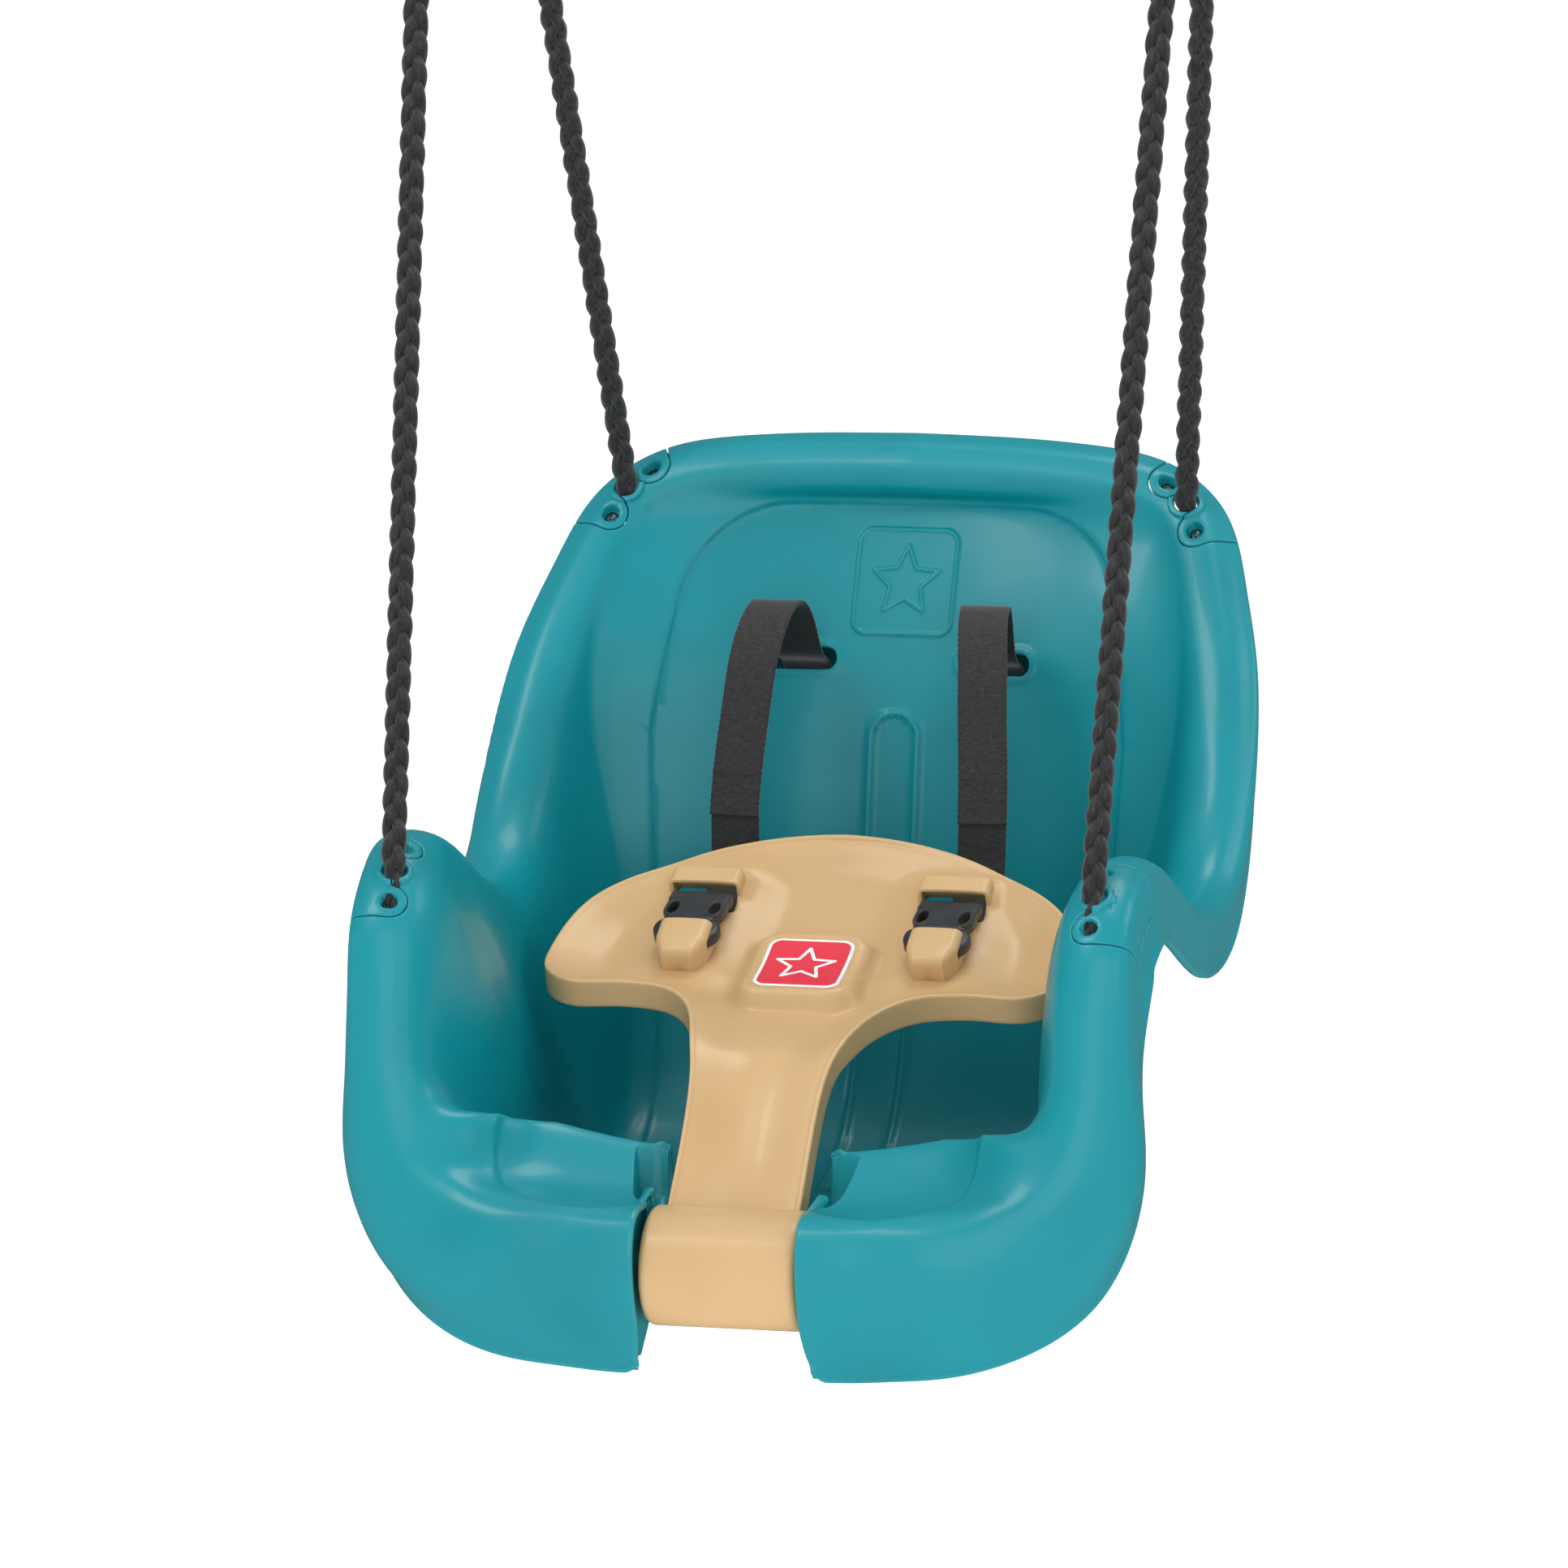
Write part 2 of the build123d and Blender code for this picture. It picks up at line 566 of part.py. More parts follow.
def build():
    nodes = {}
    shell = bare_shell()
    front = clamp(shell, FRONT_HOLE, FRONT_SCREWS)
    rear = clamp(shell, REAR_HOLE, REAR_SCREWS)
    nodes["seat_shell"] = seat_shell(shell)
    nodes.update(both_sides("front_clamp", front))
    nodes.update(both_sides("rear_clamp", rear))
    screws = []
    for hole, places in ((FRONT_HOLE, FRONT_SCREWS), (REAR_HOLE, REAR_SCREWS)):
        axis = screw_axis(hole, places)
        for place in places:
            one = clamp_screw(place, axis)
            screws += [one, mirrored(one)]
    nodes["clamp_screws"] = screws
    nodes.update(both_sides("rope_front", rope(FRONT_HOLE)))
    nodes.update(both_sides("rope_rear", rope(REAR_HOLE)))
    knots = [rope_knot(FRONT_HOLE), rope_knot(REAR_HOLE)]
    nodes["rope_knots"] = knots + [mirrored(knot) for knot in knots]
    nodes.update(both_sides("rope_bight", rope_bight()))
    nodes.update(both_sides("rope_seizing", rope_seizing()))
    nodes.update(both_sides("hanging_ring", hanging_ring()))
    nodes["hinge_pin"] = hinge_pin()
    nodes["hinge_pin_caps"] = [pin_cap(), mirrored(pin_cap())]
    nodes["t_bar"] = t_bar()
    nodes["t_bar_label"] = t_bar_label()
    for name, side in (("right", 1), ("left", -1)):
        nodes["buckle_socket_" + name] = buckle_socket(side)
        nodes["buckle_plug_" + name] = buckle_plug(side)
        nodes["buckle_arm_" + name + "_outer"] = buckle_arm(side, side)
        nodes["buckle_arm_" + name + "_inner"] = buckle_arm(side, -side)
        nodes["strap_" + name] = strap(side)
        nodes["strap_loop_" + name] = strap_loop(side)
        nodes["strap_adjuster_" + name] = strap_adjuster(side)
    return nodes


def write(nodes):
    os.makedirs("parts", exist_ok=True)
    place = Pos(0, HINGE_Y, HINGE_Z)
    for name, shape in nodes.items():
        pieces = shape if isinstance(shape, list) else [shape]
        solids = [solid for piece in pieces for solid in piece.solids()]
        whole = solids[0] if len(solids) == 1 else Compound(children=solids)
        export_step(place * whole, "parts/" + name + ".step")


write(build())
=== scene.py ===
import json
import math

import bpy
import numpy as np
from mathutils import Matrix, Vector
from mathutils.bvhtree import BVHTree


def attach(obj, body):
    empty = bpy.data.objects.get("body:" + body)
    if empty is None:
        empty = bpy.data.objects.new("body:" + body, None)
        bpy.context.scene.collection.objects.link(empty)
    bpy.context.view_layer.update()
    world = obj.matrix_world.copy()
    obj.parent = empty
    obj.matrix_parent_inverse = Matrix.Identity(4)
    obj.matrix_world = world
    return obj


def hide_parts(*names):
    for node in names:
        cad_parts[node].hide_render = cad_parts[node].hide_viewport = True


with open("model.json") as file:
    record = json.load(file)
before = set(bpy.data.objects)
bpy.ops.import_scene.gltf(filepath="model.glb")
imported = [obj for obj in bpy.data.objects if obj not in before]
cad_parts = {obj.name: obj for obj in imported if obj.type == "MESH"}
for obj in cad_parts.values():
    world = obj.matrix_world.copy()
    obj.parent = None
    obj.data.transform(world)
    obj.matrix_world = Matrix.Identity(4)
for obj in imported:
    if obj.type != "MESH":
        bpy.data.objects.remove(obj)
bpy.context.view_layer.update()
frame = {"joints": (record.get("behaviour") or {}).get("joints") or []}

# Toddler bucket swing.  Working units are millimetres about the bar's hinge axis:
# +X to the right as seen from the front, +Y to the back, +Z up.
MM = 0.001
JOINTS = {joint["name"]: joint for joint in frame["joints"]}
HINGE = np.array(JOINTS["bar_hinge"]["pos_m"]) / MM
HANG_Y, HANG_Z = (np.array(JOINTS["swing_hinge"]["pos_m"]) / MM - HINGE)[1:]


# ---------------------------------------------------------------- numeric helpers

def unit(v):
    """Vectors scaled to length one along the last axis."""
    v = np.asarray(v, float)
    return v / np.maximum(np.linalg.norm(v, axis=-1, keepdims=True), 1e-9)


def cubic(rows, places):
    """Natural cubic spline through rows, read at places counted in rows."""
    rows = np.asarray(rows, float)
    size = len(rows)
    system = np.eye(size)
    load = np.zeros_like(rows)
    for i in range(1, size - 1):
        system[i, i - 1:i + 2] = 1, 4, 1
        load[i] = 6 * (rows[i - 1] - 2 * rows[i] + rows[i + 1])
    bend = np.linalg.solve(system, load.reshape(size, -1)).reshape(rows.shape)
    i = np.clip(np.asarray(places, float).astype(int), 0, size - 2)
    f = (places - i).reshape((-1,) + (1,) * (rows.ndim - 1))
    g = 1 - f
    return g * rows[i] + f * rows[i + 1] + ((g**3 - g) * bend[i] + (f**3 - f) * bend[i + 1]) / 6


def even(points, count):
    """Polyline resampled to count points evenly spaced along its length."""
    points = np.asarray(points, float)
    steps = np.linalg.norm(np.diff(points, axis=0), axis=1)
    run = np.concatenate([[0], np.cumsum(steps)])
    places = np.linspace(0, run[-1], count)
    return np.stack([np.interp(places, run, points[:, k]) for k in range(points.shape[1])], 1)


def smooth_step(value, low, high):
    """Smooth ramp from 0 at low to 1 at high."""
    f = np.clip((value - low) / (high - low), 0, 1)
    return f * f * (3 - 2 * f)


def outline_distance(x, y, outline):
    """Signed distance of points to a closed outline, negative inside."""
    x, y = np.asarray(x, float), np.asarray(y, float)
    best = np.full(x.shape, 1e9)
    inside = np.zeros(x.shape, bool)
    ends = np.roll(outline, -1, axis=0)
    for (ax, ay), (bx, by) in zip(outline, ends):
        dx, dy = bx - ax, by - ay
        f = np.clip(((x - ax) * dx + (y - ay) * dy) / max(dx * dx + dy * dy, 1e-9), 0, 1)
        best = np.minimum(best, (x - ax - f * dx) ** 2 + (y - ay - f * dy) ** 2)
        if ay != by:
            crosses = ((ay > y) != (by > y)) & (x < (bx - ax) * (y - ay) / (by - ay) + ax)
            inside ^= crosses
    return np.sqrt(best) * np.where(inside, -1, 1)


def round_box(x, y, half_x, half_y, radius):
    """Signed distance to a rounded rectangle centred on the origin."""
    qx, qy = np.abs(x) - half_x + radius, np.abs(y) - half_y + radius
    outer = np.hypot(np.maximum(qx, 0), np.maximum(qy, 0))
    return outer + np.minimum(np.maximum(qx, qy), 0) - radius


def closed_curve(points, count=160):
    """Smooth closed outline through a few points."""
    points = np.asarray(points, float)
    ring = np.concatenate([points[-3:], points, points[:3]])
    return cubic(ring, np.linspace(3, 3 + len(points), count, endpoint=False))


# ---------------------------------------------------------------- sheet meshes

class Sheet:
    """A grid of vertices with fields, cut along level lines of those fields."""

    def __init__(self, rows, cols):
        gi, gj = np.meshgrid(np.arange(rows), np.arange(cols), indexing="ij")
        self.at = np.stack([gi.ravel(), gj.ravel()], 1).astype(float)
        index = np.arange(rows * cols).reshape(rows, cols)
        quads = np.stack([index[:-1, :-1], index[1:, :-1], index[1:, 1:], index[:-1, 1:]], -1)
        self.faces = [tuple(int(k) for k in face) for face in quads.reshape(-1, 4)]

    def refine(self, mask):
        """Split the quads where mask is true into four."""
        made, places, faces, rest = {}, list(self.at), [], []

        def middle(a, b):
            key = (a, b) if a < b else (b, a)
            if key not in made:
                made[key] = len(places)
                places.append((self.at[a] + self.at[b]) / 2)
            return made[key]

        for face, chosen in zip(self.faces, mask):
            if not chosen or len(face) != 4:
                rest.append(face)
                continue
            a, b, c, d = face
            m, n, o, p = middle(a, b), middle(b, c), middle(c, d), middle(d, a)
            mid = len(places)
            places.append(self.at[list(face)].mean(0))
            faces += [(a, m, mid, p), (m, b, n, mid), (mid, n, c, o), (p, mid, o, d)]
        for face in rest:
            faces.append(self._with_middles(face, made))
        self.at, self.faces = np.array(places), faces

    @staticmethod
    def _with_middles(face, made):
        """A face with the new points on its edges put in."""
        ring = []
        for a, b in zip(face, face[1:] + face[:1]):
            ring.append(a)
            key = (a, b) if a < b else (b, a)
            if key in made:
                ring.append(made[key])
        return tuple(ring)

    def cut(self, field, level=0.0):
        """Insert an edge line where field(at) equals level."""
        value = field(self.at) - level
        value[np.abs(value) < 1e-7] = 1e-7
        size = max(len(face) for face in self.faces)
        padded = np.array([face + (face[0],) * (size - len(face)) for face in self.faces])
        signs = value[padded] > 0
        touched = np.nonzero(signs.any(1) & ~signs.all(1))[0]
        if not len(touched):
            return
        edges = set()
        for index in touched:
            face = self.faces[index]
            for a, b in zip(face, face[1:] + face[:1]):
                if (value[a] > 0) != (value[b] > 0):
                    edges.add((a, b) if a < b else (b, a))
        edges = np.array(sorted(edges))
        share = self._crossings(field, level, value, edges)
        start, stop = self.at[edges[:, 0]], self.at[edges[:, 1]]
        places = start + (stop - start) * share[:, None]
        ends = np.array([self.at.min(0), self.at.max(0)])
        pinned = (np.abs(self.at - ends[0]) < 1e-6) | (np.abs(self.at - ends[1]) < 1e-6)
        pinned = pinned.any(1)
        at, zero, made = list(self.at), set(), {}
        for (a, b), f, place in zip(edges.tolist(), share, places):
            near = a if f < 0.16 else b if f > 0.84 else None
            if near is not None and not pinned[near]:
                at[near] = place
                zero.add(near)
        for (a, b), place in zip(edges.tolist(), places):
            if a in zero or b in zero:
                continue
            made[(a, b)] = len(at)
            zero.add(len(at))
            at.append(place)
        positive = np.concatenate([value > 0, np.zeros(len(at) - len(value), bool)])
        snapped = np.zeros(len(at), bool)
        snapped[list(zero)] = True
        work = set(touched.tolist()) | set(np.nonzero(snapped[padded].any(1))[0].tolist())
        faces = [face for k, face in enumerate(self.faces) if k not in work]
        for index in sorted(work):
            faces.extend(self._split(self._with_middles(self.faces[index], made), zero, positive))
        self.at, self.faces = np.array(at), faces

    def _crossings(self, field, level, value, edges):
        """Share of each edge's length at which the field passes the level."""
        low, high = np.zeros(len(edges)), np.ones(len(edges))
        start, stop = self.at[edges[:, 0]], self.at[edges[:, 1]]
        first = value[edges[:, 0]] > 0
        share = value[edges[:, 0]] / (value[edges[:, 0]] - value[edges[:, 1]])
        for _ in range(4):
            here = start + (stop - start) * share[:, None]
            same = ((field(here) - level) > 0) == first
            low, high = np.where(same, share, low), np.where(same, high, share)
            share = (low + high) / 2
        return share

    @staticmethod
    def _split(ring, zero, positive):
        """A face cut in two between points on the level line, if both signs occur."""
        marks = [k for k, v in enumerate(ring) if v in zero]
        for n, i in enumerate(marks):
            for j in marks[n + 1:]:
                one = [positive[v] for v in ring[i + 1:j] if v not in zero]
                two = [positive[v] for v in ring[j + 1:] + ring[:i] if v not in zero]
                if one and two and len(set(one)) == 1 and len(set(two)) == 1 and one[0] != two[0]:
                    return [ring[i:j + 1], ring[j:] + ring[:i + 1]]
        return [ring]

    def centres(self):
        """Grid place of every face's middle."""
        return np.array([self.at[list(face)].mean(0) for face in self.faces])

    def keep(self, mask):
        """Drop the faces where mask is false."""
        self.faces = [face for face, wanted in zip(self.faces, mask) if wanted]


def boundary_loops(faces):
    """Directed boundary edges of a face list."""
    seen = {}
    for face in faces:
        for a, b in zip(face, face[1:] + face[:1]):
            if seen.pop((b, a), None) is None:
                seen[(a, b)] = True
    return list(seen)


def thicken(points, normals, faces, wall):
    """Closed wall between a sheet and its copy set back by wall, with rounded edges."""
    used = sorted({v for face in faces for v in face})
    renumber = {v: k for k, v in enumerate(used)}
    front, out = points[used], normals[used]
    wall = np.broadcast_to(np.asarray(wall, float), (len(points),))[used][:, None]
    count = len(used)
    faces = [tuple(renumber[v] for v in face) for face in faces]
    edges = boundary_loops(faces)
    ahead, behind = {}, {}
    for a, b in edges:
        ahead[a] = b
        behind[b] = a
    rim = sorted(set(ahead) | set(behind))
    place = {v: k for k, v in enumerate(rim)}
    away = np.zeros((len(rim), 3))
    for a, b in edges:
        side = np.cross(front[b] - front[a], out[a])
        side /= max(np.linalg.norm(side), 1e-9)
        away[place[a]] += side
        away[place[b]] += side
    away = unit(away)
    rim_wall = wall[rim]
    bulge = np.minimum(rim_wall, 3.0)
    ring_a = front[rim] - out[rim] * bulge * 0.16 + away * bulge * 0.13
    ring_b = front[rim] - out[rim] * (rim_wall - bulge * 0.16) + away * bulge * 0.13
    back = front - out * wall
    verts = np.concatenate([front, back, ring_a, ring_b])
    result = list(faces) + [tuple(v + count for v in reversed(face)) for face in faces]
    top, low = 2 * count, 2 * count + len(rim)
    for a, b in edges:
        pa, pb = place[a], place[b]
        result.append((b, a, top + pa, top + pb))
        result.append((top + pb, top + pa, low + pa, low + pb))
        result.append((low + pb, low + pa, a + count, b + count))
    return verts, result


def grid_faces(rows, cols, wrap=False):
    """Quads of a row-major vertex grid, with the columns joined round when wrap is true."""
    faces = []
    for i in range(rows - 1):
        for j in range(cols if wrap else cols - 1):
            k = (j + 1) % cols
            faces.append((i * cols + j, i * cols + k, (i + 1) * cols + k, (i + 1) * cols + j))
    return faces


def tube_mesh(centres, side_a, side_b, half_a, half_b, around=12):
    """Closed tube along centres with an elliptical section and flat end caps."""
    angles = np.linspace(0, 2 * math.pi, around, endpoint=False)
    half_a = np.broadcast_to(half_a, (len(centres),))[:, None, None]
    half_b = np.broadcast_to(half_b, (len(centres),))[:, None, None]
    ring = np.cos(angles)[None, :, None] * side_a[:, None] * half_a
    ring = ring + np.sin(angles)[None, :, None] * side_b[:, None] * half_b
    verts = (centres[:, None] + ring).reshape(-1, 3)
    faces = grid_faces(len(centres), around, wrap=True)
    last = (len(centres) - 1) * around
    faces.append(tuple(reversed(range(around))))
    faces.append(tuple(range(last, last + around)))
    return verts, faces


def frame_along(points, reference):
    """Two unit side vectors along a polyline, turned as little as possible."""
    along = unit(np.gradient(points, axis=0))
    side = unit(reference - along[0] * (along[0] @ reference))
    sides = []
    for direction in along:
        side = unit(side - direction * (direction @ side))
        sides.append(side)
    sides = np.array(sides)
    return sides, np.cross(along, sides)


def join(parts):
    """Several (verts, faces) meshes as one."""
    verts, faces, shift = [], [], 0
    for part_verts, part_faces in parts:
        verts.append(part_verts)
        faces.extend(tuple(v + shift for v in face) for face in part_faces)
        shift += len(part_verts)
    return np.concatenate(verts), faces


def mirror_mesh(verts, faces):
    """The mesh mirrored from one side of the swing to the other."""
    return verts * [-1, 1, 1], [tuple(reversed(face)) for face in faces]


def lathe(profile, origin, axis, around=40):
    """Solid of revolution of (radius, height) points about an axis; ends on the axis are closed."""
    axis = unit(np.asarray(axis, float))
    helper = np.array([1.0, 0, 0]) if abs(axis[0]) < 0.9 else np.array([0, 1.0, 0])
    a = unit(np.cross(axis, helper))
    b = np.cross(axis, a)
    angles = np.linspace(0, 2 * math.pi, around, endpoint=False)
    ring = np.cos(angles)[:, None] * a + np.sin(angles)[:, None] * b
    verts = [np.asarray(origin) + ring * radius + axis * height for radius, height in profile]
    faces = grid_faces(len(profile), around, wrap=True)
    last = (len(profile) - 1) * around
    faces.append(tuple(reversed(range(around))))
    faces.append(tuple(range(last, last + around)))
    return np.concatenate(verts), faces


def piece(name, mesh_data, body, material, replaces=(), face_materials=None):
    """Object from millimetre mesh data, riding on a body and finished."""
    verts, faces = mesh_data
    mesh = bpy.data.meshes.new(name)
    mesh.from_pydata(((verts + HINGE) * MM).tolist(), [], faces)
    mesh.validate()
    mesh.shade_smooth()
    obj = bpy.data.objects.new(name, mesh)
    bpy.context.scene.collection.objects.link(obj)
    materials = material if isinstance(material, (list, tuple)) else [material]
    for one in materials:
        mesh.materials.append(one)
    if face_materials is not None:
        mesh.polygons.foreach_set("material_index", face_materials)
    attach(obj, body)
    if replaces:
        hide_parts(*replaces)
    return obj


def pair(name, data, material, stands_for=True):
    """The same seat piece on the right and mirrored on the left."""
    for hand, mesh_data in (("right", data), ("left", mirror_mesh(*data))):
        node = f"{name}_{hand}"
        piece(node, mesh_data, "seat", material, [node] if stands_for else ())


# ---------------------------------------------------------------- materials

def material(name, rough, coat=0.0):
    """New node material with a principled surface; returns it with its node helpers."""
    mat = bpy.data.materials.new(name)
    mat.use_nodes = True
    nodes, links = mat.node_tree.nodes, mat.node_tree.links
    surface = nodes["Principled BSDF"]
    surface.inputs["Roughness"].default_value = rough
    surface.inputs["Coat Weight"].default_value = coat
    surface.inputs["Coat Roughness"].default_value = 0.12
    return mat, nodes, links, surface


def object_noise(nodes, links, scale, detail=3.0, roughness=0.6, stretch=(1, 1, 1)):
    """Noise in object space; returns the noise node."""
    coords = nodes.new("ShaderNodeTexCoord")
    spread = nodes.new("ShaderNodeMapping")
    spread.inputs["Scale"].default_value = stretch
    links.new(coords.outputs["Object"], spread.inputs["Vector"])
    noise = nodes.new("ShaderNodeTexNoise")
    noise.inputs["Scale"].default_value = scale
    noise.inputs["Detail"].default_value = detail
    noise.inputs["Roughness"].default_value = roughness
    links.new(spread.outputs["Vector"], noise.inputs["Vector"])
    return noise


def ramp(nodes, links, source, stops):
    """Colour ramp fed by a value output; stops are (place, colour)."""
    node = nodes.new("ShaderNodeValToRGB")
    elements = node.color_ramp.elements
    while len(elements) < len(stops):
        elements.new(0.5)
    for element, (place, colour) in zip(elements, stops):
        element.position = place
        element.color = (*colour, 1)
    links.new(source, node.inputs["Fac"])
    return node


def scalar(nodes, links, source, low, high):
    """Value output mapped from 0..1 to low..high."""
    node = nodes.new("ShaderNodeMapRange")
    node.inputs["To Min"].default_value = low
    node.inputs["To Max"].default_value = high
    links.new(source, node.inputs["Value"])
    return node.outputs["Result"]


def painted_edge_highlight(nodes, links, colour, light, places, most):
    """Painted highlight: colour output blended towards a lighter one where the surface turns sharply
    outwards.
    """
    geometry = nodes.new("ShaderNodeNewGeometry")
    stops = [(places[0], (0, 0, 0)), (places[1], (most, most, most))]
    # painted highlight mask: the sharpest outward edges get the lighter colour
    edge = ramp(nodes, links, geometry.outputs["Pointiness"], stops)
    node = nodes.new("ShaderNodeMix")
    node.data_type = "RGBA"
    links.new(edge.outputs["Color"], node.inputs["Factor"])
    links.new(colour, node.inputs[6])
    node.inputs[7].default_value = (*light, 1)
    return node.outputs[2]


def bump(nodes, links, surface, source, strength, distance):
    """Add a bump layer on top of those the surface already has."""
    node = nodes.new("ShaderNodeBump")
    node.inputs["Strength"].default_value = strength
    node.inputs["Distance"].default_value = distance
    links.new(source, node.inputs["Height"])
    last = surface.inputs["Normal"].links
    if last:
        links.new(last[0].from_socket, node.inputs["Normal"])
    links.new(node.outputs["Normal"], surface.inputs["Normal"])


def moulded(name, dark, base, light, rough):
    """Moulded plastic: soft mottle, fine grain, paler painted highlights on sharp edges and a satin coat."""
    mat, nodes, links, surface = material(name, rough, coat=0.15)
    surface.inputs["Specular IOR Level"].default_value = 0.4
    mottle = object_noise(nodes, links, 9.0, 2.0)
    tone = ramp(nodes, links, mottle.outputs["Fac"], [(0.25, dark), (0.55, base), (0.85, base)])
    # painted highlight: lighter colour laid on sharp outward edges
    colour = painted_edge_highlight(nodes, links, tone.outputs["Color"], light, (0.52, 0.62), 0.55)
    links.new(colour, surface.inputs["Base Color"])
    scuffs = object_noise(nodes, links, 34.0, 6.0, 0.75)
    gloss = scalar(nodes, links, scuffs.outputs["Fac"], rough - 0.1, rough + 0.12)
    links.new(gloss, surface.inputs["Roughness"])
    grain = object_noise(nodes, links, 1500.0, 2.0)
    bump(nodes, links, surface, grain.outputs["Fac"], 0.12, 0.0002)
    waves = object_noise(nodes, links, 26.0, 1.0)
    bump(nodes, links, surface, waves.outputs["Fac"], 0.12, 0.001)
    surface.inputs["Subsurface Weight"].default_value = 0.04
    surface.inputs["Subsurface Radius"].default_value = (0.004, 0.004, 0.004)
    return mat


# The last colour in each is the painted highlight on sharp edges.
TEAL = moulded("teal_plastic", (0.0, 0.215, 0.26), (0.0, 0.255, 0.305), (0.05, 0.37, 0.42), 0.38)
TAN = moulded("tan_plastic", (0.53, 0.345, 0.16), (0.6, 0.395, 0.19), (0.76, 0.56, 0.33), 0.38)


def black_plastic():
    """Buckle plastic: near black with a fine grain and paler painted highlights on its sharp edges."""
    mat, nodes, links, surface = material("black_plastic", 0.42, coat=0.1)
    mottle = object_noise(nodes, links, 60.0)
    tone = ramp(nodes, links, mottle.outputs["Fac"],
                [(0.3, (0.018, 0.018, 0.02)), (0.7, (0.035, 0.035, 0.038))])
    # painted highlight: lighter grey laid on sharp outward edges
    colour = painted_edge_highlight(nodes, links, tone.outputs["Color"], (0.12, 0.12, 0.125), (0.53, 0.66), 0.4)
    links.new(colour, surface.inputs["Base Color"])
    grain = object_noise(nodes, links, 1400.0, 2.0)
    bump(nodes, links, surface, grain.outputs["Fac"], 0.25, 0.0003)
    return mat


def woven_nylon():
    """Webbing: black yarn streaks with a sheen; the weave itself is in the mesh."""
    mat, nodes, links, surface = material("black_webbing", 0.62)
    streaks = object_noise(nodes, links, 1100.0, 3.0, stretch=(0.35, 1, 1))
    tone = ramp(nodes, links, streaks.outputs["Fac"],
                [(0.3, (0.008, 0.008, 0.009)), (0.75, (0.035, 0.035, 0.037))])
    links.new(tone.outputs["Color"], surface.inputs["Base Color"])
    surface.inputs["Sheen Weight"].default_value = 0.35
    surface.inputs["Sheen Roughness"].default_value = 0.4
    bump(nodes, links, surface, streaks.outputs["Fac"], 0.4, 0.0003)
    return mat


def rope_fibre():
    """Rope: fine fibres that run along the strands, a few of them paler."""
    mat, nodes, links, surface = material("black_rope", 0.5)
    streaks = object_noise(nodes, links, 700.0, 4.0, stretch=(1, 1, 0.22))
    tone = ramp(nodes, links, streaks.outputs["Fac"],
                [(0.32, (0.006, 0.006, 0.007)), (0.62, (0.024, 0.024, 0.026)), (0.82, (0.075, 0.072, 0.072))])
    links.new(tone.outputs["Color"], surface.inputs["Base Color"])
    surface.inputs["Sheen Weight"].default_value = 0.25
    bump(nodes, links, surface, streaks.outputs["Fac"], 0.75, 0.0007)
    return mat


def steel(name, dull, bright):
    """Metal with cloudy stains in its colour and gloss."""
    mat, nodes, links, surface = material(name, 0.3)
    surface.inputs["Metallic"].default_value = 1.0
    stains = object_noise(nodes, links, 120.0, 5.0)
    tone = ramp(nodes, links, stains.outputs["Fac"], [(0.3, dull), (0.7, bright)])
    links.new(tone.outputs["Color"], surface.inputs["Base Color"])
    links.new(scalar(nodes, links, stains.outputs["Fac"], 0.2, 0.45), surface.inputs["Roughness"])
    return mat


def print_film(name, colour):
    """Glossy printed film."""
    mat, nodes, links, surface = material(name, 0.3, coat=0.5)
    noise = object_noise(nodes, links, 300.0)
    paler = tuple(min(c * 1.12, 1) for c in colour)
    tone = ramp(nodes, links, noise.outputs["Fac"], [(0.3, colour), (0.8, paler)])
    links.new(tone.outputs["Color"], surface.inputs["Base Color"])
    bump(nodes, links, surface, noise.outputs["Fac"], 0.1, 0.0002)
    return mat


BLACK = black_plastic()
WEB = woven_nylon()
ROPE = rope_fibre()
STEEL = steel("zinc_steel", (0.42, 0.42, 0.43), (0.66, 0.66, 0.67))
DARK_STEEL = steel("black_steel", (0.05, 0.06, 0.065), (0.12, 0.13, 0.135))
RED = print_film("red_film", (0.72, 0.035, 0.06))
WHITE = print_film("white_film", (0.86, 0.86, 0.86))


# ---------------------------------------------------------------- seat surface

FRONT_HOLE = np.array([175.6, 21.5, 189])
FRONT_SCREWS = np.array([[174.2, 6.3, 177], [175.2, 41, 198]])
REAR_HOLE = np.array([148.5, 367.0, 338])
REAR_SCREWS = np.array([[154.5, 352.5, 329], [137.5, 374.0, 348]])
EAR_R = 9.6                 # radius of a clamp's ear round each screw
SEAM = 1.4                  # gap round a clamp insert
ROPE_HOLE_R, COLLAR_R = 6.5, (8.6, 9.6)
RECESS_R, RECESS_DEPTH = (4.5, 5.0), 5.2
SHELL_WALL, CLAMP_WALL, BAR_WALL = 3.4, 4.2, 2.9
POCKET_DROP = 26
KNUCKLE_X = 41.0
SLOT_X, SLOT_Z = 51.3, 254.0

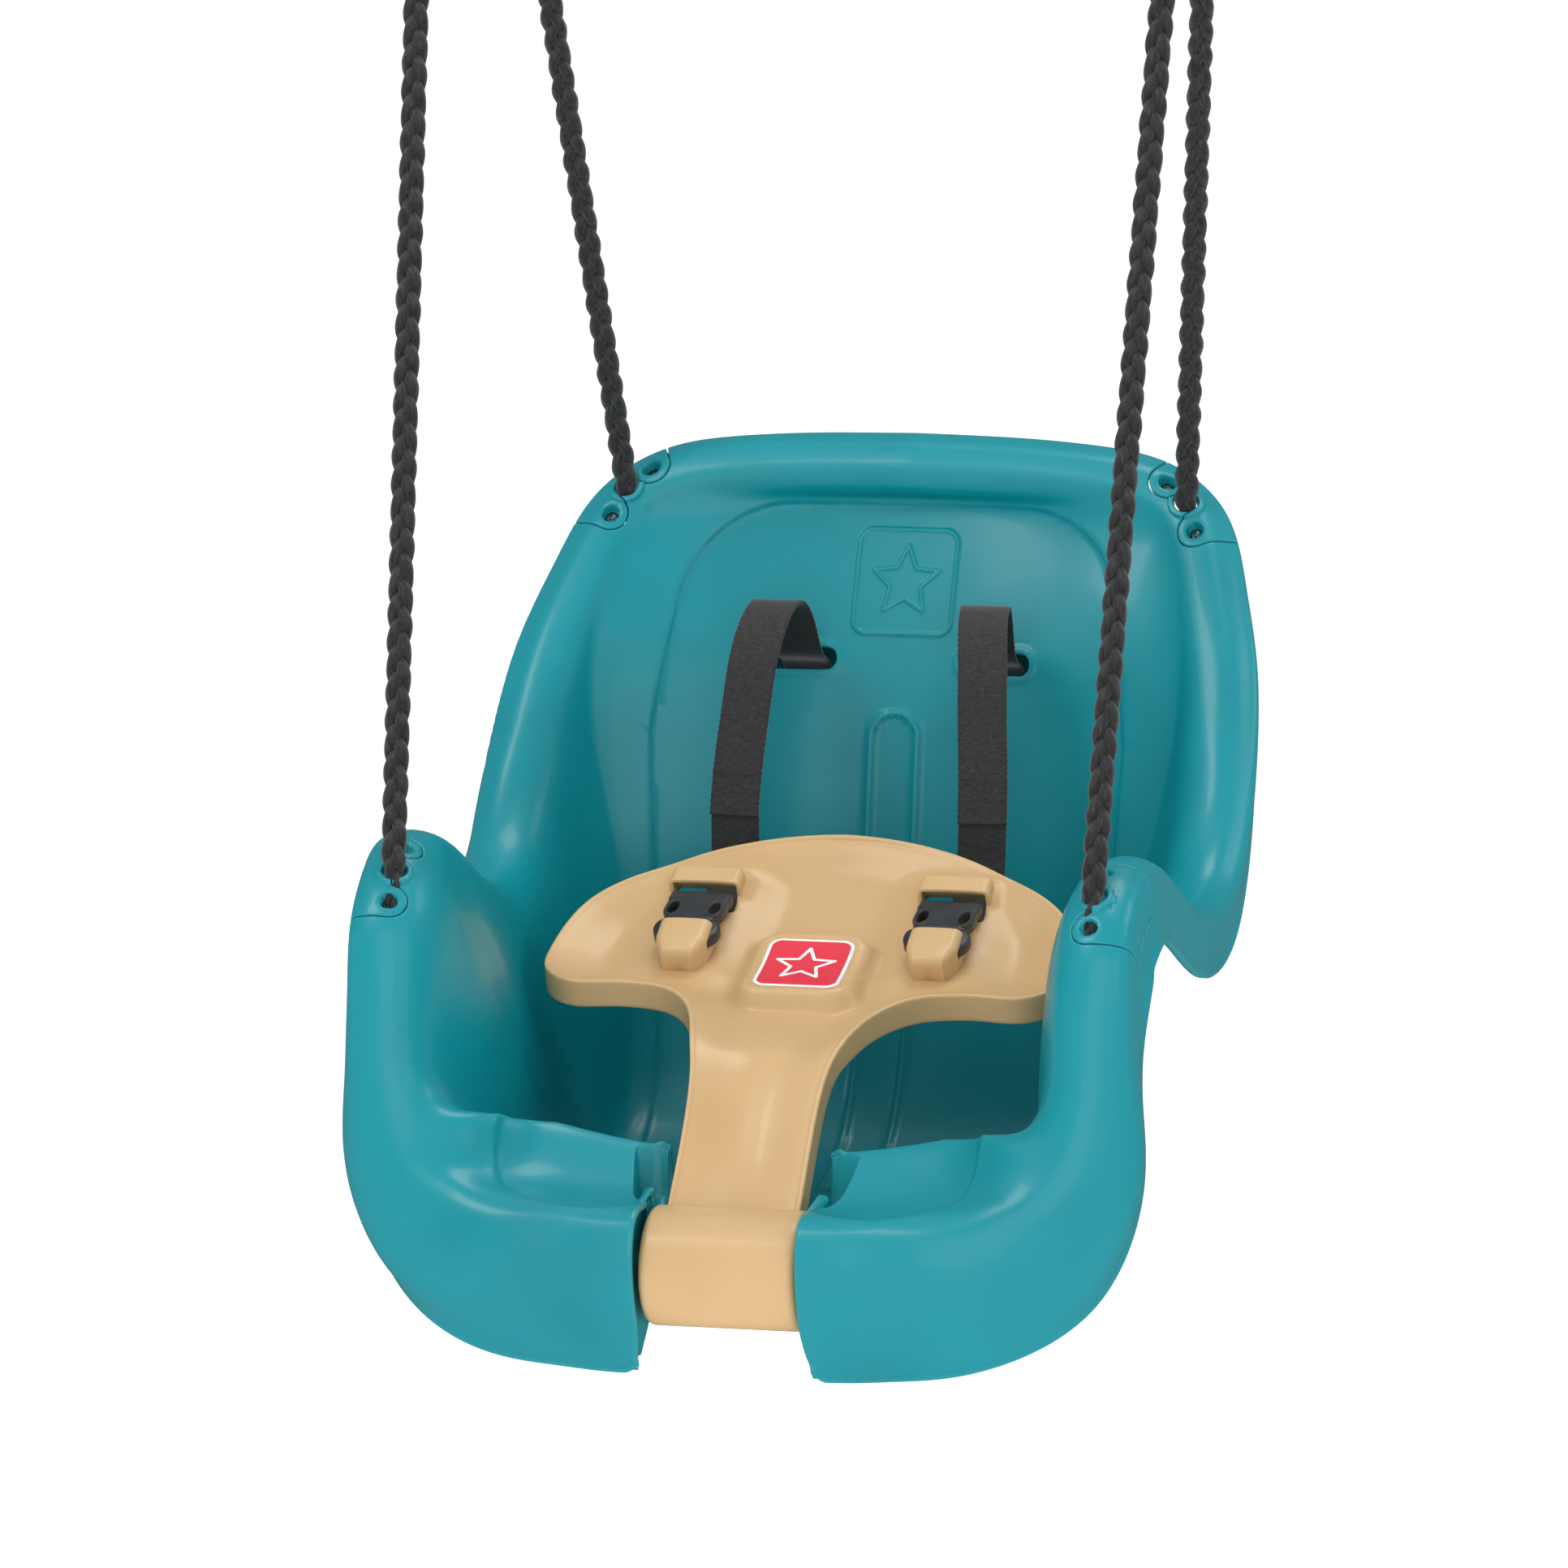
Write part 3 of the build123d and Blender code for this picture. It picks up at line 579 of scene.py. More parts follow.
# Rim stations from the knuckle to the top centre: crown point, outward direction, skirt depth,
# skirt tuck, foot of the inner wall, inward reach, drop of the inner shoulder, skirt bulge.
RIM = [
    ((41, -14, 32), (0, -1, 0), 84, -25, (41, 72, 2), 54, -22, 0),
    ((60, -14, 32.5), (0.02, -1, 0), 84, -25, (56, 78, -2), 54, -24, 1),
    ((82, -14, 34), (0.05, -1, -0.02), 84, -24, (72, 86, -5), 56, -25, 1),
    ((112, -15, 37), (0.3, -1, -0.1), 82, -17, (92, 96, -7), 56, -22, 5),
    ((142, -15, 47), (0.65, -0.8, -0.45), 78, -1, (106, 106, -8), 40, -8, 13),
    ((163, -12, 66), (0.9, -0.4, -0.3), 68, -4, (114, 118, -9), 25, 3, 11),
    ((173, -9, 92), (1, -0.1, 0), 57, -4, (119, 132, -10), 18, 8, 5),
    ((176, -7, 125), (1, 0, 0), 52, 0, (122, 150, -11), 17, 8, 1),
    ((176, 0, 162), (1, 0, 0.05), 52, 2, (124, 168, -11), 17, 8, 0),
    ((175.5, 22, 189), (1, 0, 0.05), 52, 1, (125, 188, -12), 17, 8, 0),
    ((176.5, 58, 203), (1, 0, 0.05), 49, 1, (126, 206, -12), 17, 8, 0),
    ((178, 100, 196), (1, 0, 0), 44, 1, (126, 224, -11), 17, 8, 0),
    ((179, 145, 176), (1, 0, 0), 42, 0, (126, 242, -9), 17, 8, 0),
    ((180, 190, 161), (1, 0, 0), 39, -1, (126, 262, -4), 17, 8, 0),
    ((181, 228, 166), (1, 0, 0), 39, -2, (125, 282, 14), 17, 8, 0),
    ((182.5, 255, 188), (1, 0, 0), 41, -5, (124, 300, 48), 17, 8, 0),
    ((181, 283, 225), (1, 0, 0), 37, -6, (123, 318, 108), 17, 8, 0),
    ((175, 311, 265), (1, 0, 0.05), 35, -6, (122, 334, 168), 17, 8, 0),
    ((164, 338, 301), (1, 0.1, 0.15), 35, -4, (120, 348, 230), 17, 8, 0),
    ((150, 361, 330), (0.8, 0.3, 0.5), 36, -3, (115, 358, 276), 17, 8, 0),
    ((126, 372, 347), (0.35, 0.5, 0.75), 38, 0, (102, 369, 310), 17, 8, 0),
    ((92, 376, 353.5), (0.1, 0.57, 0.82), 38, 0, (78, 382, 330), 17, 8, 0),
    ((50, 378, 356), (0, 0.57, 0.82), 38, 0, (46, 388, 334), 17, 8, 0),
    ((0, 378, 357), (0, 0.57, 0.82), 38, 0, (0, 390, 335), 17, 8, 0),
]
RIM_HALF = 20.0
CROWN = 5                   # place of the crown among a rim section's points

# Pan and backrest from the front edge to the top: y, z, half width, rise of the sides.
PAN = [
    (46, 21, 66, 0), (72, 9, 92, 2), (110, 2, 116, 3), (160, -3, 127, 4), (210, -4, 132, 5),
    (255, 3, 134, 6), (290, 22, 135, 8), (312, 55, 134, 12), (324, 95, 133, 16),
    (331, 140, 132, 18), (338, 190, 131, 19), (347, 235, 130, 19), (362, 278, 126, 17),
    (378, 315, 113, 13), (388, 336, 92, 9),
]
FINE = 4                    # fine grid steps per mesh step
SEAT_ROWS, WALL_COLS, PAN_COLS = 430, 64, 40
RIM_STEPS = 2300


def rim_section(index):
    """Points of one rim station, from the skirt's free edge to the inner wall's foot."""
    crown, outward, depth, tuck, foot, reach, drop, bulge = RIM[index]
    crown, outward, foot = np.array(crown, float), np.array(outward, float), np.array(foot, float)
    if index == 0:
        along = np.array([1.0, 0, 0])
    elif index == len(RIM) - 1:
        along = np.array([-1.0, 0, 0])
    else:
        along = unit(np.array(RIM[index + 1][0], float) - RIM[index - 1][0])
    out = unit(outward - along * (outward @ along))
    up = np.cross(out, along)
    points = [
        crown + out * (RIM_HALF + tuck) - up * depth,
        crown + out * (RIM_HALF + bulge + tuck * 0.35) - up * (depth * 0.66),
        crown + out * (RIM_HALF + bulge * 0.6) - up * (depth * 0.34),
        crown + out * (RIM_HALF - 3) - up * 8,
        crown + out * (RIM_HALF - 11) - up * 1.6,
        crown,
        crown - out * (reach * 0.53) - up * (drop * 0.2),
        crown - out * reach - up * drop,
    ]
    shoulder = points[-1]
    reachline = foot - shoulder
    start = unit(up * -0.9 - out * 0.35) * np.linalg.norm(reachline) * 0.9
    for f in (0.25, 0.5, 0.75, 1.0):
        bend = start * (f**3 - 2 * f**2 + f) + reachline * (3 * f**2 - 2 * f**3)
        points.append(shoulder + bend + reachline * (0.5 * (f**3 - f**2)))
    return points


def pan_grid():
    """Fine grid of pan points: rows front to top, columns from the middle outwards."""
    rows = []
    table = np.array(PAN, float)
    for i, (y, z, half, rise) in enumerate(table):
        step = table[min(i + 1, len(PAN) - 1)] - table[max(i - 1, 0)]
        along = unit([0, step[0], step[1]])
        inward = np.array([0, -along[2], along[1]])
        rows.append([np.array([u * half, y, z]) + inward * rise * u * u for u in np.linspace(-1, 1, 9)])
    grid = cubic(np.array(rows), np.linspace(0, len(PAN) - 1, 281))
    grid = cubic(grid.transpose(1, 0, 2), np.linspace(4, 8, 101))
    return grid.transpose(1, 0, 2)


def sample_grid(grid, i, j):
    """Bilinear reading of a grid at fractional places."""
    i = np.clip(i, 0, grid.shape[0] - 1.000001)
    j = np.clip(j, 0, grid.shape[1] - 1.000001)
    a, b = i.astype(int), j.astype(int)
    f, g = i - a, j - b
    if grid.ndim == 3:
        f, g = f[..., None], g[..., None]
    low = grid[a, b] * (1 - g) + grid[a, b + 1] * g
    high = grid[a + 1, b] * (1 - g) + grid[a + 1, b + 1] * g
    return low * (1 - f) + high * f


def soften(values, passes):
    """Smoothing of a sequence that leaves its ends in place."""
    values = values.copy()
    for _ in range(passes):
        values[1:-1] += 0.25 * (values[:-2] + values[2:] - 2 * values[1:-1])
    return values


def relax(grid, mask, passes, share):
    """Even out a grid along its rows, in place, as much as the mask allows."""
    for _ in range(passes):
        middle = (grid[:, :-2] + grid[:, 2:]) / 2 - grid[:, 1:-1]
        grid[:, 1:-1] += share * middle * mask[:, 1:-1]


def rim_stations():
    """Dense rim sections from knuckle to top centre, and the run along the crown at each."""
    stations = np.array([rim_section(i) for i in range(len(RIM))])
    dense = cubic(stations, np.linspace(0, len(RIM) - 1, RIM_STEPS))
    steps = np.linalg.norm(np.diff(dense[:, CROWN], axis=0), axis=1)
    return stations, dense, np.concatenate([[0], np.cumsum(steps)])


def rim_columns(grid, wall_count, index):
    """Column in every fine row that passes nearest to one point of the rim's section."""
    _, dense, run = rim_stations()
    places = np.linspace(0, run[-1], grid.shape[0])
    line = np.stack([np.interp(places, run, dense[:, index, k]) for k in range(3)], 1)
    near = np.linalg.norm(grid[:, :wall_count] - line[:, None], axis=2)
    return soften(near.argmin(1).astype(float), 60)


def corner_shift(x, z):
    """How far the lower corner of a knuckle leans away from the bar."""
    return 2.8 * (1 - smooth_step(x, 41, 60)) * smooth_step(-z, 22, 54)


def pan_crossing(wall, pan):
    """Where each mesh row of the wall meets the pan: wall step, pan row, pan column."""
    cols = pan.shape[1]
    tree = BVHTree.FromPolygons(pan.reshape(-1, 3).tolist(), grid_faces(pan.shape[0], cols))
    crossing = []
    for row in wall[::FINE]:
        for k in range(150, 221):
            place, normal, index, _ = tree.find_nearest(row[k].tolist())
            normal = np.array(normal)
            height = (row[k] - np.array(place)) @ (normal * (1 if normal @ [0, -0.5, 1] > 0 else -1))
            if height < 0.4:
                break
        crossing.append((k, index // (cols - 1) + 0.5, index % (cols - 1) + 0.5))
    crossing = soften(np.array(crossing, float), 40)
    crossing[-1, 2] = 0
    return crossing


def seat_grid():
    """Fine grid of the seat's right half: columns run from the skirt's edge to the spine."""
    stations, _, run = rim_stations()
    count = (SEAT_ROWS - 1) * FINE + 1
    places = np.interp(np.linspace(0, run[-1], count), run, np.linspace(0, len(RIM) - 1, RIM_STEPS))
    rows = cubic(stations, places)
    steps = np.linspace(0, 11, 221)
    wall = cubic(rows.transpose(1, 0, 2), steps).transpose(1, 0, 2)
    pan = pan_grid()
    crossing = pan_crossing(wall, pan)
    every = np.arange(count) / FINE
    crossing = np.stack([np.interp(every, np.arange(len(crossing)), crossing[:, k]) for k in range(3)], 1)
    contour = sample_grid(pan, crossing[:, 1], crossing[:, 2])
    travel = np.concatenate([[0], np.cumsum(np.linalg.norm(np.diff(contour, axis=0), axis=1))])
    spine = travel / travel[-1] * 0.89 * (pan.shape[0] - 1)
    wall_count, pan_count = WALL_COLS * FINE, PAN_COLS * FINE
    grid = np.zeros((count, wall_count + pan_count + 1, 3))
    f = np.linspace(0, 1, pan_count + 1)
    bow = f * f * (3 - 2 * f) * 0.4 + f * 0.6
    for i in range(count):
        upto = crossing[i, 0]
        here = wall[i, :int(upto) + 1]
        here = np.concatenate([here, sample_grid(wall, np.array([float(i)]), np.array([upto]))])
        grid[i, :wall_count + 1] = even(here, wall_count + 1)
        gv = crossing[i, 1] * (1 - bow) + spine[i] * bow
        path = sample_grid(pan, gv, crossing[i, 2] * (1 - f))
        grid[i, wall_count:] = even(path, pan_count + 1)
    soften_shoulder(grid, wall_count)
    spread = np.abs(np.arange(grid.shape[1]) - wall_count) / FINE
    relax(grid, (1 - smooth_step(spread, 5, 14))[None, :, None], 260, 0.5)
    x, z = grid[..., 0], grid[..., 2]
    front = smooth_step(-grid[..., 1], -6, 2)
    grid[..., 0] = x + front * corner_shift(x, z)
    grid[..., 2] = z + front * 5 * (1 - smooth_step(x, 41, 51)) * smooth_step(-z, 38, 54)
    grid[:, -1, 0] = 0
    grid[-1, :, 0] = 0
    return grid, every * run[-1] / every[-1]


def soften_shoulder(grid, wall_count):
    """Round the inner shoulder of the rim, least at the knuckle, in place."""
    shoulder = rim_columns(grid, wall_count, CROWN + 2)
    count = grid.shape[0]
    away = np.abs(np.arange(grid.shape[1])[None] - shoulder[:, None]) / FINE
    along = np.interp(np.arange(count), [0, 120, 200, count], [0.07, 0.15, 1, 1])
    broad = np.interp(np.arange(count), [120, 200, 300, 450], [0, 1, 1, 0])[:, None]
    mask = ((1 - smooth_step((away - 3 - 2 * broad) / (6 + 4 * broad), 0, 1)) * along[:, None])[..., None]
    relax(grid, mask, 400, 0.5)


def grid_normals(grid):
    """Unit normals of a point grid by central differences."""
    return unit(np.cross(np.gradient(grid, axis=1), np.gradient(grid, axis=0)))


SEAT, CROWN_RUN = seat_grid()
SEAT_N = grid_normals(SEAT)
if SEAT_N[SEAT.shape[0] // 2, -20] @ [0, -1, 1] < 0:    # they point at the sitting child
    SEAT_N = -SEAT_N
SEAT_N[-1, :, 0] = 0
SEAT_N[:, -1, 0] = 0
SEAT_N = unit(SEAT_N)


def across_run():
    """Arc distance from the crown in every row: outward positive."""
    steps = np.linalg.norm(np.diff(SEAT, axis=1), axis=2)
    run = np.concatenate([np.zeros((SEAT.shape[0], 1)), np.cumsum(steps, axis=1)], axis=1)
    columns = rim_columns(SEAT, WALL_COLS * FINE, CROWN)
    at_crown = np.array([np.interp(c, np.arange(SEAT.shape[1]), row) for c, row in zip(columns, run)])
    return at_crown[:, None] - run, run


CROWN_OUT, EDGE_RUN = across_run()


def seat_at(at, values):
    """Values of a fine grid at places counted in mesh steps."""
    return sample_grid(values, at[:, 0] * FINE, at[:, 1] * FINE)


def along_rim(at):
    """Distance along the crown from the knuckle."""
    return np.interp(at[:, 0] * FINE, np.arange(len(CROWN_RUN)), CROWN_RUN)


def rim_place(point):
    """(along the rim, outward from the crown) of the seat point nearest to a place."""
    i, j = np.unravel_index(((SEAT - point) ** 2).sum(2).argmin(), SEAT.shape[:2])
    return np.array([CROWN_RUN[i], CROWN_OUT[i, j]])


class Clamp:
    """One rope clamp insert: its seam, rope hole and screw recesses on the seat's surface."""

    def __init__(self, hole, screws, reach):
        self.origin = rim_place(hole)
        self.screw_places = [rim_place(screw) for screw in screws]
        (a0, b0), (a1, b1) = [place - self.origin for place in self.screw_places]
        turn = np.linspace(math.pi, 2 * math.pi, 25)
        lobe = EAR_R * np.stack([np.cos(turn), np.sin(turn)], 1)
        through = np.array([(-6.0, 0), (6.0, 0)])
        ends = np.array([(a1 + EAR_R, reach)]), np.array([(a0 - EAR_R, reach)])
        self.outline = np.concatenate([lobe + (a0, b0), through, lobe + (a1, b1), *ends])

    def local(self, at):
        """Distances from the rope's hole, along the rim and outwards."""
        a = along_rim(at) - self.origin[0]
        b = seat_at(at, CROWN_OUT) - self.origin[1]
        return a, b

    def seam(self, at):
        """Distance to the insert's outline, negative inside."""
        a, b = self.local(at)
        far = np.abs(a) > 60
        return np.where(far, 30.0, outline_distance(a, b, self.outline))

    def rope(self, at):
        """Distance from the middle of the rope's hole."""
        a, b = self.local(at)
        return np.hypot(a, b)

    def screw(self, at):
        """Distance from the nearer screw."""
        a, b = along_rim(at), seat_at(at, CROWN_OUT)
        return np.minimum(*[np.hypot(a - p[0], b - p[1]) for p in self.screw_places])


CLAMPS = {"front": Clamp(FRONT_HOLE, FRONT_SCREWS, 40), "rear": Clamp(REAR_HOLE, REAR_SCREWS, 24)}


def panel_distance(at):
    """Distance to the outline of the sunken back and seat panel, negative inside."""
    x, y, z = seat_at(at, SEAT).T
    corner = np.hypot(np.maximum(x - 62, 0), np.maximum(z - 276, 0)) - 55
    half = np.interp(z, [-20, 20, 217, 278, 400], [112, 114, 125, 117, 117])
    side = np.where(y > 250, x - half, 30)
    floor = np.maximum(x - 100 - 12 * smooth_step(y, 90, 250), 96 - y)
    return np.where((y > 300) & (z > 276), np.maximum(corner, x - half), np.where(y > 250, side, floor))


def channel_distance(at):
    """Distance to the drain channel up the middle, negative inside."""
    x, y, z = seat_at(at, SEAT).T
    cap = np.hypot(x, np.maximum(z - 215, 0)) - 14.5
    return np.where(y > 250, np.where(z > 215, cap, x - 14.5), np.maximum(x - 14.5, 230 - y))


def badge_distance(at):
    """Distance to the frame round the star on the backrest."""
    x, y, z = seat_at(at, SEAT).T
    field = round_box(x, z - 293, 26, 26, 7)
    return np.where(y > 250, field, 40)


def star(points, outer, inner):
    """Outline of a star with one point up."""
    angles = math.pi / 2 + np.arange(2 * points) * math.pi / points
    radius = np.where(np.arange(2 * points) % 2 == 0, outer, inner)
    return np.stack([radius * np.cos(angles), radius * np.sin(angles)], 1)


def star_distance(at):
    """Distance to the outline of the star on the backrest."""
    x, y, z = seat_at(at, SEAT).T
    field = np.full(x.shape, 40.0)
    near = (x < 30) & (np.abs(z - 293) < 30) & (y > 250)
    field[near] = outline_distance(x[near], z[near] - 293, star(5, 18, 8.4))
    return field


def slot_distance(at):
    """Distance to the opening for a shoulder strap, negative inside."""
    x, y, z = seat_at(at, SEAT).T
    return np.where(y > 250, round_box(x - SLOT_X, z - SLOT_Z, 19, 6, 5.8), 40)


LEAF = closed_curve([(98, 54), (110, 44), (118, 32), (121, 18), (120, 5), (113, -8), (100, -18), (80, -23),
                     (60, -21), (47, -14), (45, 8), (46, 40), (56, 66), (78, 68)], 90)
POCKET = closed_curve([(30, -4), (43, -1), (50, 8), (54, 22), (56, 33), (50, 38), (30, 38.5)], 70)


def leaf_distance(at):
    """Distance to the sunken leaf-shaped thigh rest, negative inside."""
    x, y, z = seat_at(at, SEAT).T
    field = np.full(x.shape, 40.0)
    near = (x < 150) & (y < 90) & (seat_at(at, CROWN_OUT) < 14)
    field[near] = outline_distance(x[near], y[near], LEAF)
    return field


def pocket_distance(at):
    """Distance to the pocket beside the bar's stem, behind each knuckle."""
    x, y, z = seat_at(at, SEAT).T
    field = np.full(x.shape, 40.0)
    near = (x < 75) & (y < 60) & (z > 0) & (seat_at(at, CROWN_OUT) < 2)
    field[near] = outline_distance(x[near], y[near], POCKET)
    return field


def seat_push(at):
    """How far the seat's surface stands out from its plain form."""
    panel, channel = panel_distance(at), channel_distance(at)
    push = -1.9 * (1 - smooth_step(panel, -1.5, 1.3))
    push += 1.9 * (1 - smooth_step(np.abs(channel + 2.2), 0.6, 2.6))
    badge, emblem = badge_distance(at), star_distance(at)
    push += 0.9 * (1 - smooth_step(np.abs(badge), 0.5, 1.5)) + 0.4 * (1 - smooth_step(badge, -1, 1))
    push += 0.9 * (1 - smooth_step(np.abs(emblem), 0.4, 1.5))
    slot = slot_distance(at)
    push += 0.8 * (1 - smooth_step(slot, 2.0, 4.5))
    leaf = leaf_distance(at)
    fade = 1 - smooth_step(seat_at(at, SEAT)[:, 1], 44, 62)
    push -= fade * 1.5 * (1 - smooth_step(leaf, -3.0, 1.2))
    push += fade * 0.4 * (1 - smooth_step(np.abs(leaf - 2), 0, 3))
    push += 1.3 * (1 - smooth_step(seat_at(at, EDGE_RUN), 1.8, 4.6))
    for clamp in CLAMPS.values():
        rope, screw = clamp.rope(at), clamp.screw(at)
        push += 2.0 * (1 - smooth_step(rope, *COLLAR_R))
        push -= RECESS_DEPTH * (1 - smooth_step(screw, *RECESS_R)) + 0.4 * (1 - smooth_step(screw, 5.0, 6.4))
    return push


def seat_sheet():
    """The seat's right half cut along every seam, edge and relief, with its openings left out."""
    sheet = Sheet(SEAT_ROWS, WALL_COLS + PAN_COLS + 1)
    for limits in ((14, 30), (5, 16)):
        centres = sheet.centres()
        mask = np.zeros(len(centres), bool)
        for clamp in CLAMPS.values():
            mask |= (clamp.rope(centres) < limits[0]) | (clamp.screw(centres) < limits[0])
            if limits[0] > 6:
                mask |= clamp.seam(centres) < 6
        mask |= np.abs(slot_distance(centres)) < limits[0] / 2
        if limits[0] > 6:
            mask |= badge_distance(centres) < 3
        mask |= np.abs(pocket_distance(centres)) < limits[0] / 3
        sheet.refine(mask)
    for clamp in CLAMPS.values():
        sheet.cut(clamp.seam, -SEAM / 2)
        sheet.cut(clamp.seam, SEAM / 2)
        for radius in (ROPE_HOLE_R, *COLLAR_R):
            sheet.cut(clamp.rope, radius)
        for radius in (*RECESS_R, 6.2):
            sheet.cut(clamp.screw, radius)
    creases = ((slot_distance, (0.0, 2.2, 4.5)), (panel_distance, (-1.5, -0.1, 1.3)),
               (channel_distance, (-4.8, -2.9, -1.5, 0.4)), (badge_distance, (-1.6, -0.5, 0.5, 1.6)),
               (star_distance, (-1.5, -0.4, 0.4, 1.5)), (leaf_distance, (-3.0, -0.9, 1.2)),
               (pocket_distance, (-3.4, -2.4, -1.4, -0.4, 0.6)))
    for field, levels in creases:
        for level in levels:
            sheet.cut(field, level)
    for level in (1.8, 4.6):
        sheet.cut(lambda at: seat_at(at, EDGE_RUN), level)
    centres = sheet.centres()
    open_place = slot_distance(centres) < 0
    for clamp in CLAMPS.values():
        open_place |= np.abs(clamp.seam(centres)) < SEAM / 2
        open_place |= clamp.rope(centres) < ROPE_HOLE_R
    sheet.keep(~open_place)
    return sheet


def seat_points(sheet):
    """Places and normals of the sheet's vertices on the finished surface."""
    normals = unit(seat_at(sheet.at, SEAT_N))
    points = seat_at(sheet.at, SEAT) + normals * seat_push(sheet.at)[:, None]
    points[:, 2] -= POCKET_DROP * (1 - smooth_step(pocket_distance(sheet.at), -3.4, 0.6))
    return points, normals


def oriented(points, normals, faces):
    """Faces turned so that they follow the normals."""
    face = next(f for f in faces if len(f) == 4)
    side = np.cross(points[face[1]] - points[face[0]], points[face[2]] - points[face[1]])
    return faces if side @ normals[face[0]] > 0 else [tuple(reversed(f)) for f in faces]


def mirrored_half(points, normals, faces):
    """A half sheet and its mirror image, joined at x = 0."""
    count = len(points)
    on_plane = np.abs(points[:, 0]) < 1e-3
    other = np.where(on_plane, np.arange(count), np.arange(count) + count)
    both = list(faces) + [tuple(int(other[v]) for v in reversed(face)) for face in faces]
    points, normals = [np.concatenate([half, half * [-1, 1, 1]]) for half in (points, normals)]
    return points, normals, both


def build_seat():
    """Seat shell and the four clamp inserts, all cut from one surface."""
    sheet = seat_sheet()
    points, normals = seat_points(sheet)
    sheet.faces = oriented(points, normals, sheet.faces)
    centres = sheet.centres()
    rest = np.ones(len(centres), bool)
    for name, clamp in CLAMPS.items():
        inside = clamp.seam(centres) < 0
        rest &= ~inside
        faces = [face for face, wanted in zip(sheet.faces, inside) if wanted]
        pair(f"{name}_clamp", thicken(points, normals, faces, CLAMP_WALL), TEAL)
    faces = [face for face, wanted in zip(sheet.faces, rest) if wanted]
    whole = mirrored_half(points, normals, faces)
    piece("seat_shell", thicken(*whole, SHELL_WALL), "seat", TEAL, ["seat_shell"])


def knuckle_plates():
    """End walls of the two knuckles, each with its boss for the hinge pin."""
    edge = even(cubic(rim_section(0)[:7], np.linspace(0, 6, 80)), 61) * [0, 0.975, 0.975]
    back = even(np.array([(0, -6, -44), (0, 2, -30), (0, 12, -14), (0, 13, 8), (0, 9, 31)]), 61)
    f = np.linspace(0, 1, 25)[None, :, None]
    points = (edge[:, None] * (1 - f) + back[:, None] * f)
    depth = KNUCKLE_X + 2.6 * np.sin(math.pi * f[..., 0]) ** 0.5
    points[..., 0] = depth + corner_shift(41, points[..., 2])
    points = points.reshape(-1, 3)
    normals = np.tile([-1.0, 0, 0], (len(points), 1))
    faces = oriented(points, normals, grid_faces(61, 25))
    wall = thicken(points, normals, faces, SHELL_WALL)
    boss = [(6.2, 0), (12, 0), (13, 1), (13, 15), (12, 16), (6.2, 16)]
    data = join([wall, lathe(boss, (KNUCKLE_X + 5, 0, 0), (1, 0, 0))])
    pair("knuckle", data, TEAL, stands_for=False)


# ---------------------------------------------------------------- restraint bar

# Centre line of the bar's face from foot to top edge (y, z), and the outline as (across, up).
BAR_FACE = [(9, 28), (36, 60), (62, 91), (82, 103), (107, 110.5), (148, 121.5), (176, 134), (203, 150),
            (243, 177)]
BAR_SLOPE = math.radians(32.7)
BAR_OUTLINE = [
    (33.5, -7), (33.5, 58), (38.5, 90), (47, 120), (64, 143), (90, 149), (114, 147.5), (130, 159),
    (134.5, 180), (126, 218), (102, 243), (72, 260.5), (37, 273), (0, 277.5), (-37, 273), (-72, 260.5),
]
BAR_SPINE = [-7, 58, 88, 110, 130, 149, 160, 172, 188, 210, 229, 242, 250, 255]
BAR_DEPTH, BAR_LIP = 14.0, 1.8
BAR_ROWS, SKIRT_COLS, FACE_COLS = 236, 12, 52
BARREL_R, BARREL_HALF, BARREL_ROUND, PIN_BORE_R = 29.5, 39.5, 4.5, 6.1
BUCKLE = np.array([64.5, 171.4, 132.5])
BUCKLE_SLOPE = math.radians(28)

def up_face(y, z):
    """Distance up the bar's outline plane of a place (y, z)."""
    return (y - BAR_FACE[0][0]) * math.cos(BAR_SLOPE) + (z - BAR_FACE[0][1]) * math.sin(BAR_SLOPE)


PAD_Q = up_face(152, 122.9)
BUCKLE_Q = up_face(BUCKLE[1], BUCKLE[2])
_LINE = cubic(BAR_FACE, np.linspace(0, len(BAR_FACE) - 1, 600))
_LINE_Q = up_face(_LINE[:, 0], _LINE[:, 1])
_LINE_T = unit(np.gradient(_LINE, axis=0))
_OUTLINE = cubic(BAR_OUTLINE, np.linspace(0, 13, 500))
_OUTLINE[-1, 0] = 0


def face_point(x, q):
    """Point and unit normal of the bar's face at (across, up the outline's plane)."""
    y, z = [np.interp(q, _LINE_Q, _LINE[:, k]) for k in (0, 1)]
    ty, tz = [np.interp(q, _LINE_Q, _LINE_T[:, k]) for k in (0, 1)]
    over = np.maximum(q - _LINE_Q[-1], 0) + np.minimum(q - _LINE_Q[0], 0)
    y, z = y + over * ty, z + over * tz
    return np.stack([x, y, z], -1), unit(np.stack([np.zeros_like(ty), -tz, ty], -1))


